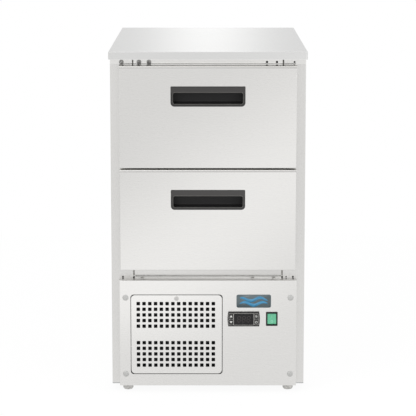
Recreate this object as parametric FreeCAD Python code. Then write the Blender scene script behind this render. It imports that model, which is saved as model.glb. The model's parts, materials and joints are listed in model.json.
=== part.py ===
import FreeCAD, Part
import math
import os

# Two-drawer counter fridge. Millimetres, +Z up, the front faces -Y.
# The origin lies on the floor, under the middle of the worktop.

V = FreeCAD.Vector

# Whole unit
WORKTOP_WIDTH = 435.0
WORKTOP_DEPTH = 700.0
TOTAL_HEIGHT = 770.0
FRONT_OVERHANG = 42.0       # worktop's front edge to the face of the front frame
REAR_OVERHANG = 12.0
FOOT_HEIGHT = 16.0
MACHINE_HEIGHT = 247.0      # underside of the base to the underside of the cell
SIDE_WALL = 49.0
REAR_WALL = 38.0
FLOOR_WALL = 39.8
TOP_WALL = 51.0
SHEET = 1.0                 # stainless sheet of casing, liner and panels
BEND = 1.0                  # inner radius of a folded edge
FIT = 0.3                   # clearance between neighbouring pieces

# Worktop
WORKTOP_SHEET = 1.2
WORKTOP_LIP = 17.0
WORKTOP_HEM = 12.0
WORKTOP_CORNER = 3.0
WORKTOP_EDGE = 1.2

# Front frame
FRAME_RETURN = 30.0         # depth of the folded edges of columns and rails
REAR_RETURN = 20.0
RAIL_SEAM = 2.8             # gap between the end of a rail and its column
RAIL_GAP = 1.2              # gap under the lower rail
HINGE_HOLE = 2.6            # radius of the threaded inserts for a hinge bracket
HINGE_HOLE_INSETS = (86.2, 64.3)   # insert axes in from the cabinet's side
HINGE_HOLE_DROP = 24.8      # insert axis below the worktop's sheet
INSERT_RADIUS = 4.2
INSERT_LENGTH = 9.0
PIVOT_HOLE = 2.1
PIVOT_HOLE_INSET = 25.5     # pivot hole's axis in from the cabinet's side
LOWER_HOLE_DROP = 1.1       # lower column holes, below the underside of the cell
SPARE_HOLE_INSET = 41.0
SPARE_HOLE = 1.6
PLUG_HEAD = 5.3
PLUG_HEAD_HEIGHT = 1.1

# Drawer fronts
SIDE_REVEAL = 21.5          # strip of column left visible beside a drawer front
DRAWER_GAP = 3.0
DRAWER_LOW_LAP = 18.0       # front's overlap below its opening
DRAWER_TOP_LAP = 22.0       # front's overlap above its opening
FRONT_THICKNESS = 29.0
FRONT_EDGE = 1.2
FRONT_TOP_EDGE = 6.5        # rounded upper edge of a drawer front
GASKET_WIDTH = 12.0
GASKET_THICKNESS = 9.5
GASKET_BASE = 3.5
GASKET_INSET = 1.2
PLUG_CLEARANCE = 9.0        # raised back of a drawer front to the edge of its opening
PLUG_RISE = 14.0
PLUG_DRAFT = 5.0

# Pocket handle
HANDLE_WIDTH = 164.0
HANDLE_HEIGHT = 44.4
HANDLE_DROP = 45.5          # top of the handle below the top of the drawer front
HANDLE_RIM = 1.8            # how far the rim stands proud of the front
HANDLE_DEPTH = 23.0
HANDLE_LIP_HEIGHT = 14.5
HANDLE_LIP_THICKNESS = 4.0
HANDLE_SIDE_BORDER = 5.5
HANDLE_LOW_BORDER = 6.0
HANDLE_WALL = 2.0
HANDLE_LAP = 3.0            # rim beyond the cut-out in the skin
HANDLE_LOW_CORNER = 8.5
HANDLE_TOP_CORNER = 2.0
HANDLE_MOUTH_CORNER = 4.0

# Pan carrier and telescopic runners
RUNNER_WIDTH = 12.7
RUNNER_HEIGHT = 45.7
RUNNER_SHEET = 1.2
RUNNER_RACE = 3.65          # room for a row of balls between two members
RUNNER_SETBACK = 4.0        # front end of the runners behind the frame's face
RUNNER_REAR_GAP = 2.0       # rear end of the runners to the evaporator's cover
CARRIER_SHEET = 1.5
CARRIER_REAR_INSET = 17.8   # rear end of the carrier before the rear end of the runners
CARRIER_REACH = 4.0         # arm below the runner
LEDGE_DROP = 21.0           # pan ledge below the top of the opening
LEDGE_CLEARANCE = 1.5
RUNNER_CLEARANCE = 1.0

# Lower front panel
PANEL_DEPTH = 28.0
PANEL_REVEAL = 18.2
PANEL_RAISE = 2.0           # bottom edge above the underside of the base
PANEL_DROP = 3.3            # top edge below the underside of the cell
PANEL_EDGE = 1.5
CAP_RADIUS = 6.8
CAP_HEIGHT = 2.6
CAP_INSET = 13.7
CAP_DROP = 39.6
CAP_RAISE = 27.4
SCREW_RADIUS = 2.5
SCREW_HEAD = 4.2
SCREW_HEAD_HEIGHT = 1.3
SPACER_RADIUS = 5.0
FLANGE_SCREW_INSETS = (50.5, 98.0)
FLANGE_SCREW_RADIUS = 2.0
FLANGE_SCREW_HEAD = 3.8
FLANGE_SCREW_INSET = 6.0

# Grille flap
FLAP_SHEET = 1.2
FLAP_LEFT_MARGIN = 26.1
FLAP_TOP_MARGIN = 34.0
FLAP_LOW_MARGIN = 28.1
CONTROL_ZONE = 166.7        # panel width kept for the controls, right of the flap
FLAP_CORNER = 8.3
FLAP_ROOM_CORNER = 7.0      # corner of the flap's opening, which leaves room for its swing
FLAP_GAP = 1.5
VENT_HOLE = 8.0
VENT_PITCH_X = 12.9
VENT_PITCH_Z = 12.9
VENT_ROWS = 5               # in each of the two blocks
VENT_SIDE_MARGIN = 16.0
VENT_END_MARGIN = 19.2
FLAP_SCREW_DROP = 7.7
FLAP_SCREW_RADIUS = 2.0
FLAP_SCREW_HEAD = 5.0
FLAP_SCREW_HEIGHT = 1.8
FLAP_SCREW_REACH = 3.5
HINGE_PIN = 1.5
HINGE_PLAY = 0.05
KNUCKLE_RADIUS = 3.0
KNUCKLE_LENGTH = 10.0
KNUCKLE_SPREAD = 70.0
HINGE_EAR = 3.0

# Controls
CONTROL_DROP = 88.0         # axis of the controller and the switch below the panel's top
CONTROLLER_INSET = 118.0
CONTROLLER_WIDTH = 72.0
CONTROLLER_HEIGHT = 33.0
CONTROLLER_BULGE = 1.6
CONTROLLER_RIM = 4.5
CONTROLLER_BODY = (66.0, 28.0, 52.0)
WINDOW_WIDTH = 44.0
WINDOW_HEIGHT = 25.5
WINDOW_THICKNESS = 1.6
KEY_WIDTH = 9.0
KEY_HEIGHT = 11.5
KEY_THICKNESS = 3.0
KEY_PROUD = 0.6
KEY_PLAY = 0.25
KEY_TRAVEL = 0.5
KEY_OFFSET_X = 28.2
KEY_OFFSET_Z = 6.6
SWITCH_INSET = 55.2
SWITCH_WIDTH = 26.0
SWITCH_HEIGHT = 31.8
SWITCH_RIM = 2.2
SWITCH_BODY_DEPTH = 20.0
ROCKER_WIDTH = 19.4
ROCKER_REACH = 12.2         # radius of the rocker's end faces about its pivot
ROCKER_PIVOT = 4.0          # pivot behind the face of the switch's rim
ROCKER_TILT = 10.0
ROCKER_PIN = 1.2
BADGE_INSET = 95.7
BADGE_DROP = 47.5
BADGE_WIDTH = 77.0
BADGE_HEIGHT = 29.5
BADGE_THICKNESS = 1.0
BADGE_CORNER = 2.5

# Base and feet
BASE_SHEET = 1.5
BASE_UPSTAND = 18.0
FOOT_RADIUS = 11.7
FOOT_INSET_X = 35.0
FOOT_INSET_FRONT = 16.0
FOOT_INSET_REAR = 46.0
STUD_RADIUS = 5.0
STUD_PLAY = 0.05
STUD_LENGTH = 26.0
BUSH_RADIUS = 9.0
BUSH_LENGTH = 12.0

# Machine compartment
CONDENSER_SETBACK = 12.0    # front of the fins behind the frame's face
CONDENSER_DEPTH = 40.0
CONDENSER_INSET = 8.4       # condenser's sides inside the flap's sides
CONDENSER_HEIGHT = 192.0
CONDENSER_RAISE = 8.0
FIN_SHEET = 0.8
FIN_PITCH = 7.0
COIL_PLATE = 1.5
FILTER_THICKNESS = 6.0
SHROUD_DEPTH = 24.0
SHROUD_RIM = 10.0           # from the fan's collar to the side of its shroud
FAN_TIP_GAP = 5.0
FAN_HUB = 20.0
FAN_DEPTH = 18.0
FAN_BLADES = 5
FAN_CHORDS = (30.0, 52.0)   # blade at the hub and at its tip
FAN_SHEET = 1.6
SHAFT_RADIUS = 3.0
SHAFT_PLAY = 0.05
FAN_MOTOR_RADIUS = 38.0
FAN_MOTOR_LENGTH = 42.0
COMPRESSOR_RADIUS = 75.0
COMPRESSOR_HEIGHT = 182.0
COMPRESSOR_SHELL = 12.0
COMPRESSOR_X = -60.0
COMPRESSOR_Y = 60.0
FOOT_PLATE_HALF = (95.0, 52.0)
SUCTION_RAISE = 45.0
TERMINAL_RAISE = 55.0
TERMINAL_HEIGHT = 45.0
MOUNT_HEIGHT = 14.0
MOUNT_RADIUS = 11.0
MOUNT_STUD = 4.0
MOUNT_SPREAD = (80.0, 38.0)
PIPE_RADIUS = 4.0
PIPE_BEND = 12.0
DRIER_RADIUS = 11.0
DRIER_LENGTH = 90.0
TRAY_HEIGHT = 32.0
TRAY_WALL = 1.5
TRAY_WIDTH = 205.0
TRAY_LENGTH = 130.0
TRAY_REACH = 55.0
TRAY_SETBACK = 8.0
LOUVRES = 9
LOUVRE_PITCH = 20.0
LOUVRE_LENGTH = 130.0
GLAND_RADIUS = 11.0
GLAND_BORE = 4.0

# Cooling inside the cell
COVER_SLOT_INSET = 56.7
COVER_ROOM = 52.0           # depth behind the evaporator cover
EVAPORATOR_DEPTH = 34.0
EVAPORATOR_SIDE = 41.0      # room beside the evaporator
EVAPORATOR_HEIGHT = 230.0
EVAPORATOR_RAISE = 12.0
COOLER_FAN_RADIUS = 50.0
COOLER_FAN_DROP = 74.0
COOLER_MOTOR_RADIUS = 28.0
COOLER_MOTOR_LENGTH = 27.0
COOLER_MOTOR_PLATE = 40.0
COOLER_FAN_HUB = 12.0
COOLER_FAN_DEPTH = 12.0
COOLER_FAN_CHORDS = (18.0, 32.0)
COOLER_FAN_SHEET = 1.4
DRAIN_RADIUS = 8.0

# Positions that follow from the sizes above
FRONT_Y = -WORKTOP_DEPTH / 2
BACK_Y = WORKTOP_DEPTH / 2
CABINET_HALF = WORKTOP_WIDTH / 2 - WORKTOP_SHEET - FIT
CABINET_BACK = BACK_Y - REAR_OVERHANG
CABINET_TOP = TOTAL_HEIGHT - WORKTOP_SHEET
FRAME_Y = FRONT_Y + FRONT_OVERHANG
INNER_HALF = CABINET_HALF - SIDE_WALL
RAIL_HALF = INNER_HALF - RAIL_SEAM
BASE_TOP = FOOT_HEIGHT + BASE_SHEET
CEILING_Z = FOOT_HEIGHT + MACHINE_HEIGHT
CELL_FLOOR = CEILING_Z + FLOOR_WALL
CELL_TOP = CABINET_TOP - TOP_WALL
MULLION_HEIGHT = DRAWER_GAP + DRAWER_LOW_LAP + DRAWER_TOP_LAP
OPENING_HEIGHT = (CELL_TOP - CELL_FLOOR - MULLION_HEIGHT) / 2
OPENING_Z = {"lower": CELL_FLOOR, "upper": CELL_FLOOR + OPENING_HEIGHT + MULLION_HEIGHT}
LINER_FRONT = FRAME_Y + FRAME_RETURN
LINER_BACK = CABINET_BACK - REAR_WALL
REAR_PANEL_Y = CABINET_BACK - SHEET
HINGE_Z = CABINET_TOP - HINGE_HOLE_DROP
HINGE_HOLE_X = tuple(CABINET_HALF - inset for inset in HINGE_HOLE_INSETS)
PIVOT_X = CABINET_HALF - PIVOT_HOLE_INSET
LOWER_HOLE_Z = CEILING_Z - LOWER_HOLE_DROP
FRONT_HALF = CABINET_HALF - SIDE_REVEAL
FRONT_HEIGHT = OPENING_HEIGHT + DRAWER_LOW_LAP + DRAWER_TOP_LAP
FRONT_BACK_Y = FRAME_Y - FIT - GASKET_THICKNESS
FRONT_FACE_Y = FRONT_BACK_Y - FRONT_THICKNESS
PLUG_Y = FRONT_BACK_Y + PLUG_RISE
ARM_OUTER = INNER_HALF - RUNNER_WIDTH
ARM_INNER = ARM_OUTER - CARRIER_SHEET
RUNNER_Y = FRAME_Y + RUNNER_SETBACK
COVER_Y = LINER_BACK - COVER_ROOM
RUNNER_LENGTH = COVER_Y - RUNNER_REAR_GAP - RUNNER_Y
CARRIER_BACK = RUNNER_Y + RUNNER_LENGTH - CARRIER_REAR_INSET
PANEL_FACE = FRAME_Y - PANEL_DEPTH
PANEL_HALF = CABINET_HALF - PANEL_REVEAL
PANEL_Z0 = FOOT_HEIGHT + PANEL_RAISE
PANEL_Z1 = CEILING_Z - PANEL_DROP
CAP_X = PANEL_HALF - CAP_INSET
CAP_SPOTS = [(x, z) for x in (-CAP_X, CAP_X) for z in (PANEL_Z0 + CAP_RAISE, PANEL_Z1 - CAP_DROP)]
FLANGE_SCREW_Y = FRAME_Y - FLANGE_SCREW_INSET
FLANGE_SCREW_X = (FLANGE_SCREW_INSETS[0] - PANEL_HALF,) + tuple(PANEL_HALF - inset for inset in FLANGE_SCREW_INSETS)
FLAP_X0 = FLAP_LEFT_MARGIN - PANEL_HALF
FLAP_X1 = PANEL_HALF - CONTROL_ZONE
FLAP_Z0 = PANEL_Z0 + FLAP_LOW_MARGIN
FLAP_Z1 = PANEL_Z1 - FLAP_TOP_MARGIN
FLAP_X = (FLAP_X0 + FLAP_X1) / 2
FLAP_SCREW_Z = FLAP_Z1 - FLAP_SCREW_DROP
FLAP_AXIS_Y = PANEL_FACE + FLAP_SHEET + KNUCKLE_RADIUS - 0.2
FLAP_AXIS_Z = FLAP_Z0 + KNUCKLE_RADIUS + 0.2
CONTROL_Z = PANEL_Z1 - CONTROL_DROP
CONTROLLER_X = PANEL_HALF - CONTROLLER_INSET
CONTROLLER_FACE = PANEL_FACE - CONTROLLER_RIM
SWITCH_X = PANEL_HALF - SWITCH_INSET
SWITCH_FACE = PANEL_FACE - SWITCH_RIM
ROCKER_AXIS_Y = SWITCH_FACE + ROCKER_PIVOT
BADGE_X = PANEL_HALF - BADGE_INSET
BADGE_Z = PANEL_Z1 - BADGE_DROP
FOOT_X = CABINET_HALF - FOOT_INSET_X
FOOT_SPOTS = {
    "foot_front_left": (-FOOT_X, FRAME_Y + FOOT_INSET_FRONT),
    "foot_front_right": (FOOT_X, FRAME_Y + FOOT_INSET_FRONT),
    "foot_rear_left": (-FOOT_X, CABINET_BACK - FOOT_INSET_REAR),
    "foot_rear_right": (FOOT_X, CABINET_BACK - FOOT_INSET_REAR),
}
CONDENSER_X0 = FLAP_X0 + CONDENSER_INSET
CONDENSER_X1 = FLAP_X1 - CONDENSER_INSET
CONDENSER_Y0 = FRAME_Y + CONDENSER_SETBACK
CONDENSER_Y1 = CONDENSER_Y0 + CONDENSER_DEPTH
CONDENSER_Z0 = BASE_TOP + CONDENSER_RAISE
CONDENSER_Z1 = CONDENSER_Z0 + CONDENSER_HEIGHT
CONDENSER_Z = (CONDENSER_Z0 + CONDENSER_Z1) / 2
SHROUD_BACK = CONDENSER_Y1 + SHROUD_DEPTH
FAN_RING = (CONDENSER_X1 - CONDENSER_X0) / 2 - SHROUD_RIM
FAN_RADIUS = FAN_RING - FAN_TIP_GAP
COMPRESSOR_Z0 = BASE_TOP + MOUNT_HEIGHT
EVAPORATOR_Y1 = LINER_BACK - 8.0
EVAPORATOR_Y0 = EVAPORATOR_Y1 - EVAPORATOR_DEPTH
EVAPORATOR_HALF = INNER_HALF - EVAPORATOR_SIDE
EVAPORATOR_Z0 = CELL_FLOOR + EVAPORATOR_RAISE
EVAPORATOR_Z1 = EVAPORATOR_Z0 + EVAPORATOR_HEIGHT
COOLER_FAN_Z = CELL_TOP - COOLER_FAN_DROP
RISER_X = EVAPORATOR_HALF + 20.0
RISER_Y = LINER_BACK - 15.0
RISER_HOLE = 13.0
DRAIN_X = -100.0


def unit(vector):
    return vector * (1.0 / vector.Length)


def spot(plane, u, v, w):
    """Point with in-plane coordinates u and v, at w along the plane's normal."""
    if plane == "xy":
        return V(u, v, w)
    if plane == "xz":
        return V(u, w, v)
    return V(w, u, v)


def outline(plane, w, points, radii=0.0):
    """Closed wire of straight edges, with an arc at each corner that has a radius."""
    count = len(points)
    if not isinstance(radii, (list, tuple)):
        radii = [radii] * count
    corners = [V(u, v, 0) for u, v in points]
    arcs = []
    for i, corner in enumerate(corners):
        to_last = unit(corners[i - 1] - corner)
        to_next = unit(corners[(i + 1) % count] - corner)
        half = to_last.getAngle(to_next) / 2
        if radii[i] == 0:
            arcs.append((corner, corner, corner))
            continue
        reach = radii[i] / math.tan(half)
        towards_centre = unit(to_last + to_next)
        middle = corner + towards_centre * (radii[i] / math.sin(half) - radii[i])
        arcs.append((corner + to_last * reach, middle, corner + to_next * reach))
    edges = []
    for i in range(count):
        first, middle, last = [spot(plane, p.x, p.y, w) for p in arcs[i]]
        if radii[i] > 0:
            edges.append(Part.Arc(first, middle, last).toShape())
        following = arcs[(i + 1) % count][0]
        start = spot(plane, following.x, following.y, w)
        if last.distanceToPoint(start) > 1e-6:
            edges.append(Part.LineSegment(last, start).toShape())
    return Part.Wire(edges)


def prism(plane, low, high, points, radii=0.0):
    """Outline in a plane, extruded from low to high along the plane's normal."""
    face = Part.Face(outline(plane, low, points, radii))
    return face.extrude(spot(plane, 0, 0, high - low))


def rectangle(u0, u1, v0, v1):
    return [(u0, v0), (u1, v0), (u1, v1), (u0, v1)]


def box(x0, x1, y0, y1, z0, z1):
    return Part.makeBox(x1 - x0, y1 - y0, z1 - z0, V(x0, y0, z0))


def rod(start, end, radius):
    """Cylinder between two points."""
    along = end - start
    return Part.makeCylinder(radius, along.Length, start, along)


def rod_y(x, y0, y1, z, radius):
    return rod(V(x, y0, z), V(x, y1, z), radius)


def rod_z(x, y, z0, z1, radius):
    return rod(V(x, y, z0), V(x, y, z1), radius)


def turned(points, radii=0.0):
    """Profile of (radius, height) points, turned about the Z axis."""
    face = Part.Face(outline("xz", 0, points, radii))
    return face.revolve(V(0, 0, 0), V(0, 0, 1), 360)


def folded(plane, low, high, path, thick, bend=BEND):
    """Sheet folded along an open path. It lies on the path's left, or right if thick is negative."""
    line = [V(u, v, 0) for u, v in path]
    steps = [unit(b - a) for a, b in zip(line, line[1:])]
    sides = [V(-s.y, s.x, 0) for s in steps]
    far = [line[0] + sides[0] * thick]
    near_radii = [0.0]
    far_radii = [0.0]
    for i in range(1, len(line) - 1):
        before, after = sides[i - 1], sides[i]
        far.append(line[i] + (before + after) * (thick / (1 + before.dot(after))))
        inwards = steps[i - 1].cross(steps[i]).z * thick > 0
        near_radii.append(bend + abs(thick) if inwards else bend)
        far_radii.append(bend if inwards else bend + abs(thick))
    far.append(line[-1] + sides[-1] * thick)
    near_radii.append(0.0)
    far_radii.append(0.0)
    points = [(p.x, p.y) for p in line + far[::-1]]
    return prism(plane, low, high, points, near_radii + far_radii[::-1])


def fused(shapes):
    return shapes[0].multiFuse(shapes[1:]).removeSplitter()


def mirrored(shape):
    return shape.mirror(V(0, 0, 0), V(1, 0, 0))


def front_edges(shape, y):
    """Edges that lie in the plane at y."""
    return [e for e in shape.Edges if abs(e.BoundBox.YMin - y) < 0.01 and abs(e.BoundBox.YMax - y) < 0.01]


def worktop():
    half = WORKTOP_WIDTH / 2
    low = TOTAL_HEIGHT - WORKTOP_LIP
    slab = prism("xy", low, TOTAL_HEIGHT, rectangle(-half, half, FRONT_Y, BACK_Y), WORKTOP_CORNER)
    top_edges = [e for e in slab.Edges if e.BoundBox.ZMin > TOTAL_HEIGHT - 0.01]
    slab = slab.makeFillet(WORKTOP_EDGE, top_edges)
    t = WORKTOP_SHEET
    hollow = rectangle(t - half, half - t, FRONT_Y + t, BACK_Y - t)
    slab = slab.cut(prism("xy", low - 1, TOTAL_HEIGHT - t, hollow, WORKTOP_CORNER - t))
    inside = half - 2 * t
    front_hem = box(-inside, inside, FRONT_Y + t / 2, FRONT_Y + WORKTOP_HEM, low, low + t)
    rear_hem = box(-inside, inside, BACK_Y - REAR_OVERHANG + t, BACK_Y - t / 2, low, low + t)
    return fused([slab, front_hem, rear_hem])


def side_panel():
    """Right side: front column with its return, outer wall and rear return, folded from one sheet."""
    path = [
        (INNER_HALF, FRAME_Y + FRAME_RETURN),
        (INNER_HALF, FRAME_Y),
        (CABINET_HALF, FRAME_Y),
        (CABINET_HALF, CABINET_BACK),
        (CABINET_HALF - REAR_RETURN, CABINET_BACK),
    ]
    panel = folded("xy", BASE_TOP, CABINET_TOP, path, SHEET)
    holes = [rod_y(PIVOT_X, FRAME_Y - 1, FRAME_Y + SHEET + 1, z, PIVOT_HOLE) for z in (HINGE_Z, LOWER_HOLE_Z)]
    for x, z in CAP_SPOTS:
        holes.append(rod_y(x, FRAME_Y - 1, FRAME_Y + SHEET + 1, z, SCREW_RADIUS + 0.1))
    return panel.cut(fused(holes))


def right_side_panel():
    spare_x = CABINET_HALF - SPARE_HOLE_INSET
    spare = rod_y(spare_x, FRAME_Y - 1, FRAME_Y + SHEET + 1, LOWER_HOLE_Z, SPARE_HOLE)
    return side_panel().cut(spare)


def rail(z0, z1):
    path = [(LINER_FRONT, z0), (FRAME_Y, z0), (FRAME_Y, z1), (LINER_FRONT, z1)]
    return folded("yz", -RAIL_HALF, RAIL_HALF, path, -SHEET)


def top_rail():
    spots = [side * x for side in (-1, 1) for x in HINGE_HOLE_X]
    inserts = [rod_y(x, FRAME_Y + SHEET / 2, FRAME_Y + INSERT_LENGTH, HINGE_Z, INSERT_RADIUS) for x in spots]
    bores = [rod_y(x, FRAME_Y - 1, FRAME_Y + INSERT_LENGTH + 1, HINGE_Z, HINGE_HOLE) for x in spots]
    return fused([rail(CELL_TOP, CABINET_TOP)] + inserts).cut(fused(bores))


def lower_rail():
    return rail(CEILING_Z + RAIL_GAP, CELL_FLOOR)


def mullion():
    z0 = OPENING_Z["lower"] + OPENING_HEIGHT
    z1 = OPENING_Z["upper"]
    half = INNER_HALF - FIT
    t = SHEET
    tube = prism("yz", -half, half, rectangle(FRAME_Y, LINER_FRONT, z0, z1), BEND + t)
    inside = rectangle(FRAME_Y + t, LINER_FRONT - t, z0 + t, z1 - t)
    return tube.cut(prism("yz", -half - 1, half + 1, inside, BEND))


def liner_block(grow, front):
    """Room inside the liner, made larger by grow on every closed side."""
    half = INNER_HALF + grow
    plan = rectangle(-half, half, front, LINER_BACK + grow)
    radii = [0.0, 0.0, 6.0 + grow, 6.0 + grow]
    return prism("xy", CELL_FLOOR - grow, CELL_TOP + grow, plan, radii)


def inner_liner():
    shell = liner_block(SHEET, LINER_FRONT).cut(liner_block(0.0, LINER_FRONT - 1))
    spout = rod_z(DRAIN_X, RISER_Y, CEILING_Z - 14, CELL_FLOOR - SHEET / 2, DRAIN_RADIUS)
    bore = rod_z(DRAIN_X, RISER_Y, CEILING_Z - 15, CELL_FLOOR + 1, DRAIN_RADIUS - 1.5)
    riser = rod_z(RISER_X, RISER_Y, CELL_FLOOR - SHEET - 1, CELL_FLOOR + 1, RISER_HOLE)
    return fused([shell, spout]).cut(fused([bore, riser]))


def insulation(neighbours):
    """Foam that fills the walls of the cell, around the pieces that reach into it."""
    half = CABINET_HALF - SHEET
    block = box(-half, half, FRAME_Y + SHEET, REAR_PANEL_Y - SHEET, CEILING_Z, CABINET_TOP)
    tunnel = box(-INNER_HALF, INNER_HALF, FRAME_Y, LINER_FRONT, CELL_FLOOR, CELL_TOP)
    drain = rod_z(DRAIN_X, RISER_Y, CEILING_Z - 1, CELL_FLOOR, DRAIN_RADIUS)
    riser = rod_z(RISER_X, RISER_Y, CEILING_Z - 1, CELL_FLOOR, RISER_HOLE)
    hollows = [liner_block(SHEET, LINER_FRONT - 1), tunnel, drain, riser]
    for x in HINGE_HOLE_X + (PIVOT_X,):
        for side in (-1, 1):
            hollows.append(rod_y(side * x, FRAME_Y, FRAME_Y + INSERT_LENGTH, HINGE_Z, INSERT_RADIUS))
    for x in (-PIVOT_X, CABINET_HALF - SPARE_HOLE_INSET, PIVOT_X):
        hollows.append(rod_y(x, FRAME_Y, FRAME_Y + INSERT_LENGTH, LOWER_HOLE_Z, INSERT_RADIUS))
    return block.cut(hollows + neighbours)


def rear_panel():
    half = CABINET_HALF - SHEET - BEND
    return box(-half, half, REAR_PANEL_Y - SHEET, REAR_PANEL_Y, CEILING_Z, CABINET_TOP)


def machine_ceiling():
    half = CABINET_HALF - SHEET
    plate = box(-half, half, LINER_FRONT, REAR_PANEL_Y - SHEET, CEILING_Z - SHEET, CEILING_Z)
    path = [(FRAME_Y, CEILING_Z - 15), (FRAME_Y, CEILING_Z), (LINER_FRONT + 1, CEILING_Z)]
    nose = folded("yz", -RAIL_HALF, RAIL_HALF, path, -SHEET, 0.5)
    drain = rod_z(DRAIN_X, RISER_Y, CEILING_Z - 2, CEILING_Z + 1, DRAIN_RADIUS + FIT)
    riser = rod_z(RISER_X, RISER_Y, CEILING_Z - 2, CEILING_Z + 1, RISER_HOLE)
    return fused([plate, nose]).cut(fused([drain, riser]))


def base_plate():
    half = CABINET_HALF
    plate = prism("xy", FOOT_HEIGHT, BASE_TOP, rectangle(-half, half, FRAME_Y, CABINET_BACK), 2.0)
    lip_top = BASE_TOP + BASE_UPSTAND
    front_lip = box(-RAIL_HALF, RAIL_HALF, FRAME_Y, FRAME_Y + SHEET, BASE_TOP, lip_top)
    rear_lip = box(-RAIL_HALF, RAIL_HALF, REAR_PANEL_Y - SHEET, REAR_PANEL_Y, BASE_TOP, lip_top)
    bushes = []
    bores = []
    for x, y in FOOT_SPOTS.values():
        bushes.append(rod_z(x, y, BASE_TOP, BASE_TOP + BUSH_LENGTH, BUSH_RADIUS))
        bores.append(rod_z(x, y, FOOT_HEIGHT - 1, BASE_TOP + BUSH_LENGTH + 1, STUD_RADIUS + STUD_PLAY))
    return fused([plate, front_lip, rear_lip] + bushes).cut(fused(bores))


def foot(x, y):
    """Levelling foot: a bevelled disc with its stud in one piece."""
    seat = FOOT_HEIGHT - FIT
    profile = [
        (0, 0),
        (FOOT_RADIUS - 2.2, 0),
        (FOOT_RADIUS, 3.4),
        (FOOT_RADIUS, seat - 1.2),
        (FOOT_RADIUS - 1.2, seat),
        (STUD_RADIUS, seat),
        (STUD_RADIUS, seat + STUD_LENGTH),
        (0, seat + STUD_LENGTH),
    ]
    shape = turned(profile)
    shape.translate(V(x, y, 0))
    return shape


def rail_plugs():
    """Plastic plugs in the hinge holes of the left side."""
    spots = [(-PIVOT_X, PIVOT_HOLE)] + [(-x, HINGE_HOLE) for x in HINGE_HOLE_X]
    plugs = []
    for x, hole in spots:
        head = rod_y(x, FRAME_Y - PLUG_HEAD_HEIGHT, FRAME_Y, HINGE_Z, PLUG_HEAD)
        stem = rod_y(x, FRAME_Y - PLUG_HEAD_HEIGHT / 2, FRAME_Y + 6, HINGE_Z, hole - 0.1)
        dimple = rod_y(x, FRAME_Y - PLUG_HEAD_HEIGHT - 1, FRAME_Y - 0.5, HINGE_Z, PLUG_HEAD * 0.55)
        plugs.append(fused([head, stem]).cut(dimple))
    return Part.makeCompound(plugs)


def handle_cut(z0, play):
    """Room that the handle's pocket takes in the skin, as x and z limits."""
    half = HANDLE_WIDTH / 2 - HANDLE_LAP + play
    top = z0 + FRONT_HEIGHT - HANDLE_DROP
    return -half, half, top - HANDLE_HEIGHT + HANDLE_LAP - play, top - HANDLE_LAP + play


def front_block(z0, inset, back):
    """Block of a drawer front, inset from its outer faces, with the upper edge rounded."""
    face = FRONT_FACE_Y + inset
    half = FRONT_HALF - inset
    low = z0 + inset
    high = z0 + FRONT_HEIGHT - inset
    edge = max(FRONT_EDGE - inset, 0.0)
    side = prism("yz", -half, half, rectangle(face, back, low, high), [edge, 0.0, 0.0, FRONT_TOP_EDGE - inset])
    plan = prism("xy", low, high, rectangle(-half, half, face, back), [edge, edge, 0.0, 0.0])
    return side.common(plan)


def drawer_skin(z0):
    """Folded stainless tray, open at the back, with the cut-out for the handle."""
    t = SHEET
    skin = front_block(z0, 0.0, FRONT_BACK_Y)
    inside = front_block(z0, t, FRONT_BACK_Y + 1)
    cut = prism("xz", FRONT_FACE_Y - 1, FRONT_FACE_Y + t + 1, rectangle(*handle_cut(z0, FIT)), 2.0)
    return skin.cut(fused([inside, cut]))


def drawer_infill(z0):
    """Foamed core with its plastic back, which rises into a plug inside the gasket."""
    t = SHEET
    core = front_block(z0, t, FRONT_BACK_Y)
    half = INNER_HALF - PLUG_CLEARANCE
    low = z0 + DRAWER_LOW_LAP + PLUG_CLEARANCE
    high = z0 + FRONT_HEIGHT - DRAWER_TOP_LAP - PLUG_CLEARANCE
    root = outline("xz", FRONT_BACK_Y - 0.5, rectangle(-half, half, low, high), 10.0)
    d = PLUG_DRAFT
    tip = outline("xz", PLUG_Y, rectangle(d - half, half - d, low + d, high - d), 6.0)
    plug = Part.makeLoft([root, tip], True, True)
    pocket = prism("xz", FRONT_FACE_Y, FRONT_FACE_Y + HANDLE_DEPTH + FIT,
                   rectangle(*handle_cut(z0, FIT)), 2.0)
    return fused([core, plug]).cut(pocket)


def gasket(z0):
    """Magnetic gasket: a base in the infill's groove line and a narrower bellows in front of it."""
    inset = GASKET_INSET

    def ring(y0, y1, out, width):
        half = FRONT_HALF - out
        low = z0 + out
        high = z0 + FRONT_HEIGHT - out
        outer = prism("xz", y0, y1, rectangle(-half, half, low, high), 3.0)
        inner = rectangle(width - half, half - width, low + width, high - width)
        return outer.cut(prism("xz", y0 - 1, y1 + 1, inner, 0.0))

    seam = FRONT_BACK_Y + GASKET_BASE
    base = ring(FRONT_BACK_Y, seam, inset, GASKET_WIDTH)
    bellows = ring(seam, FRONT_BACK_Y + GASKET_THICKNESS, inset + 1.5, GASKET_WIDTH - 3.0)
    return base.fuse(bellows).removeSplitter()


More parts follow.
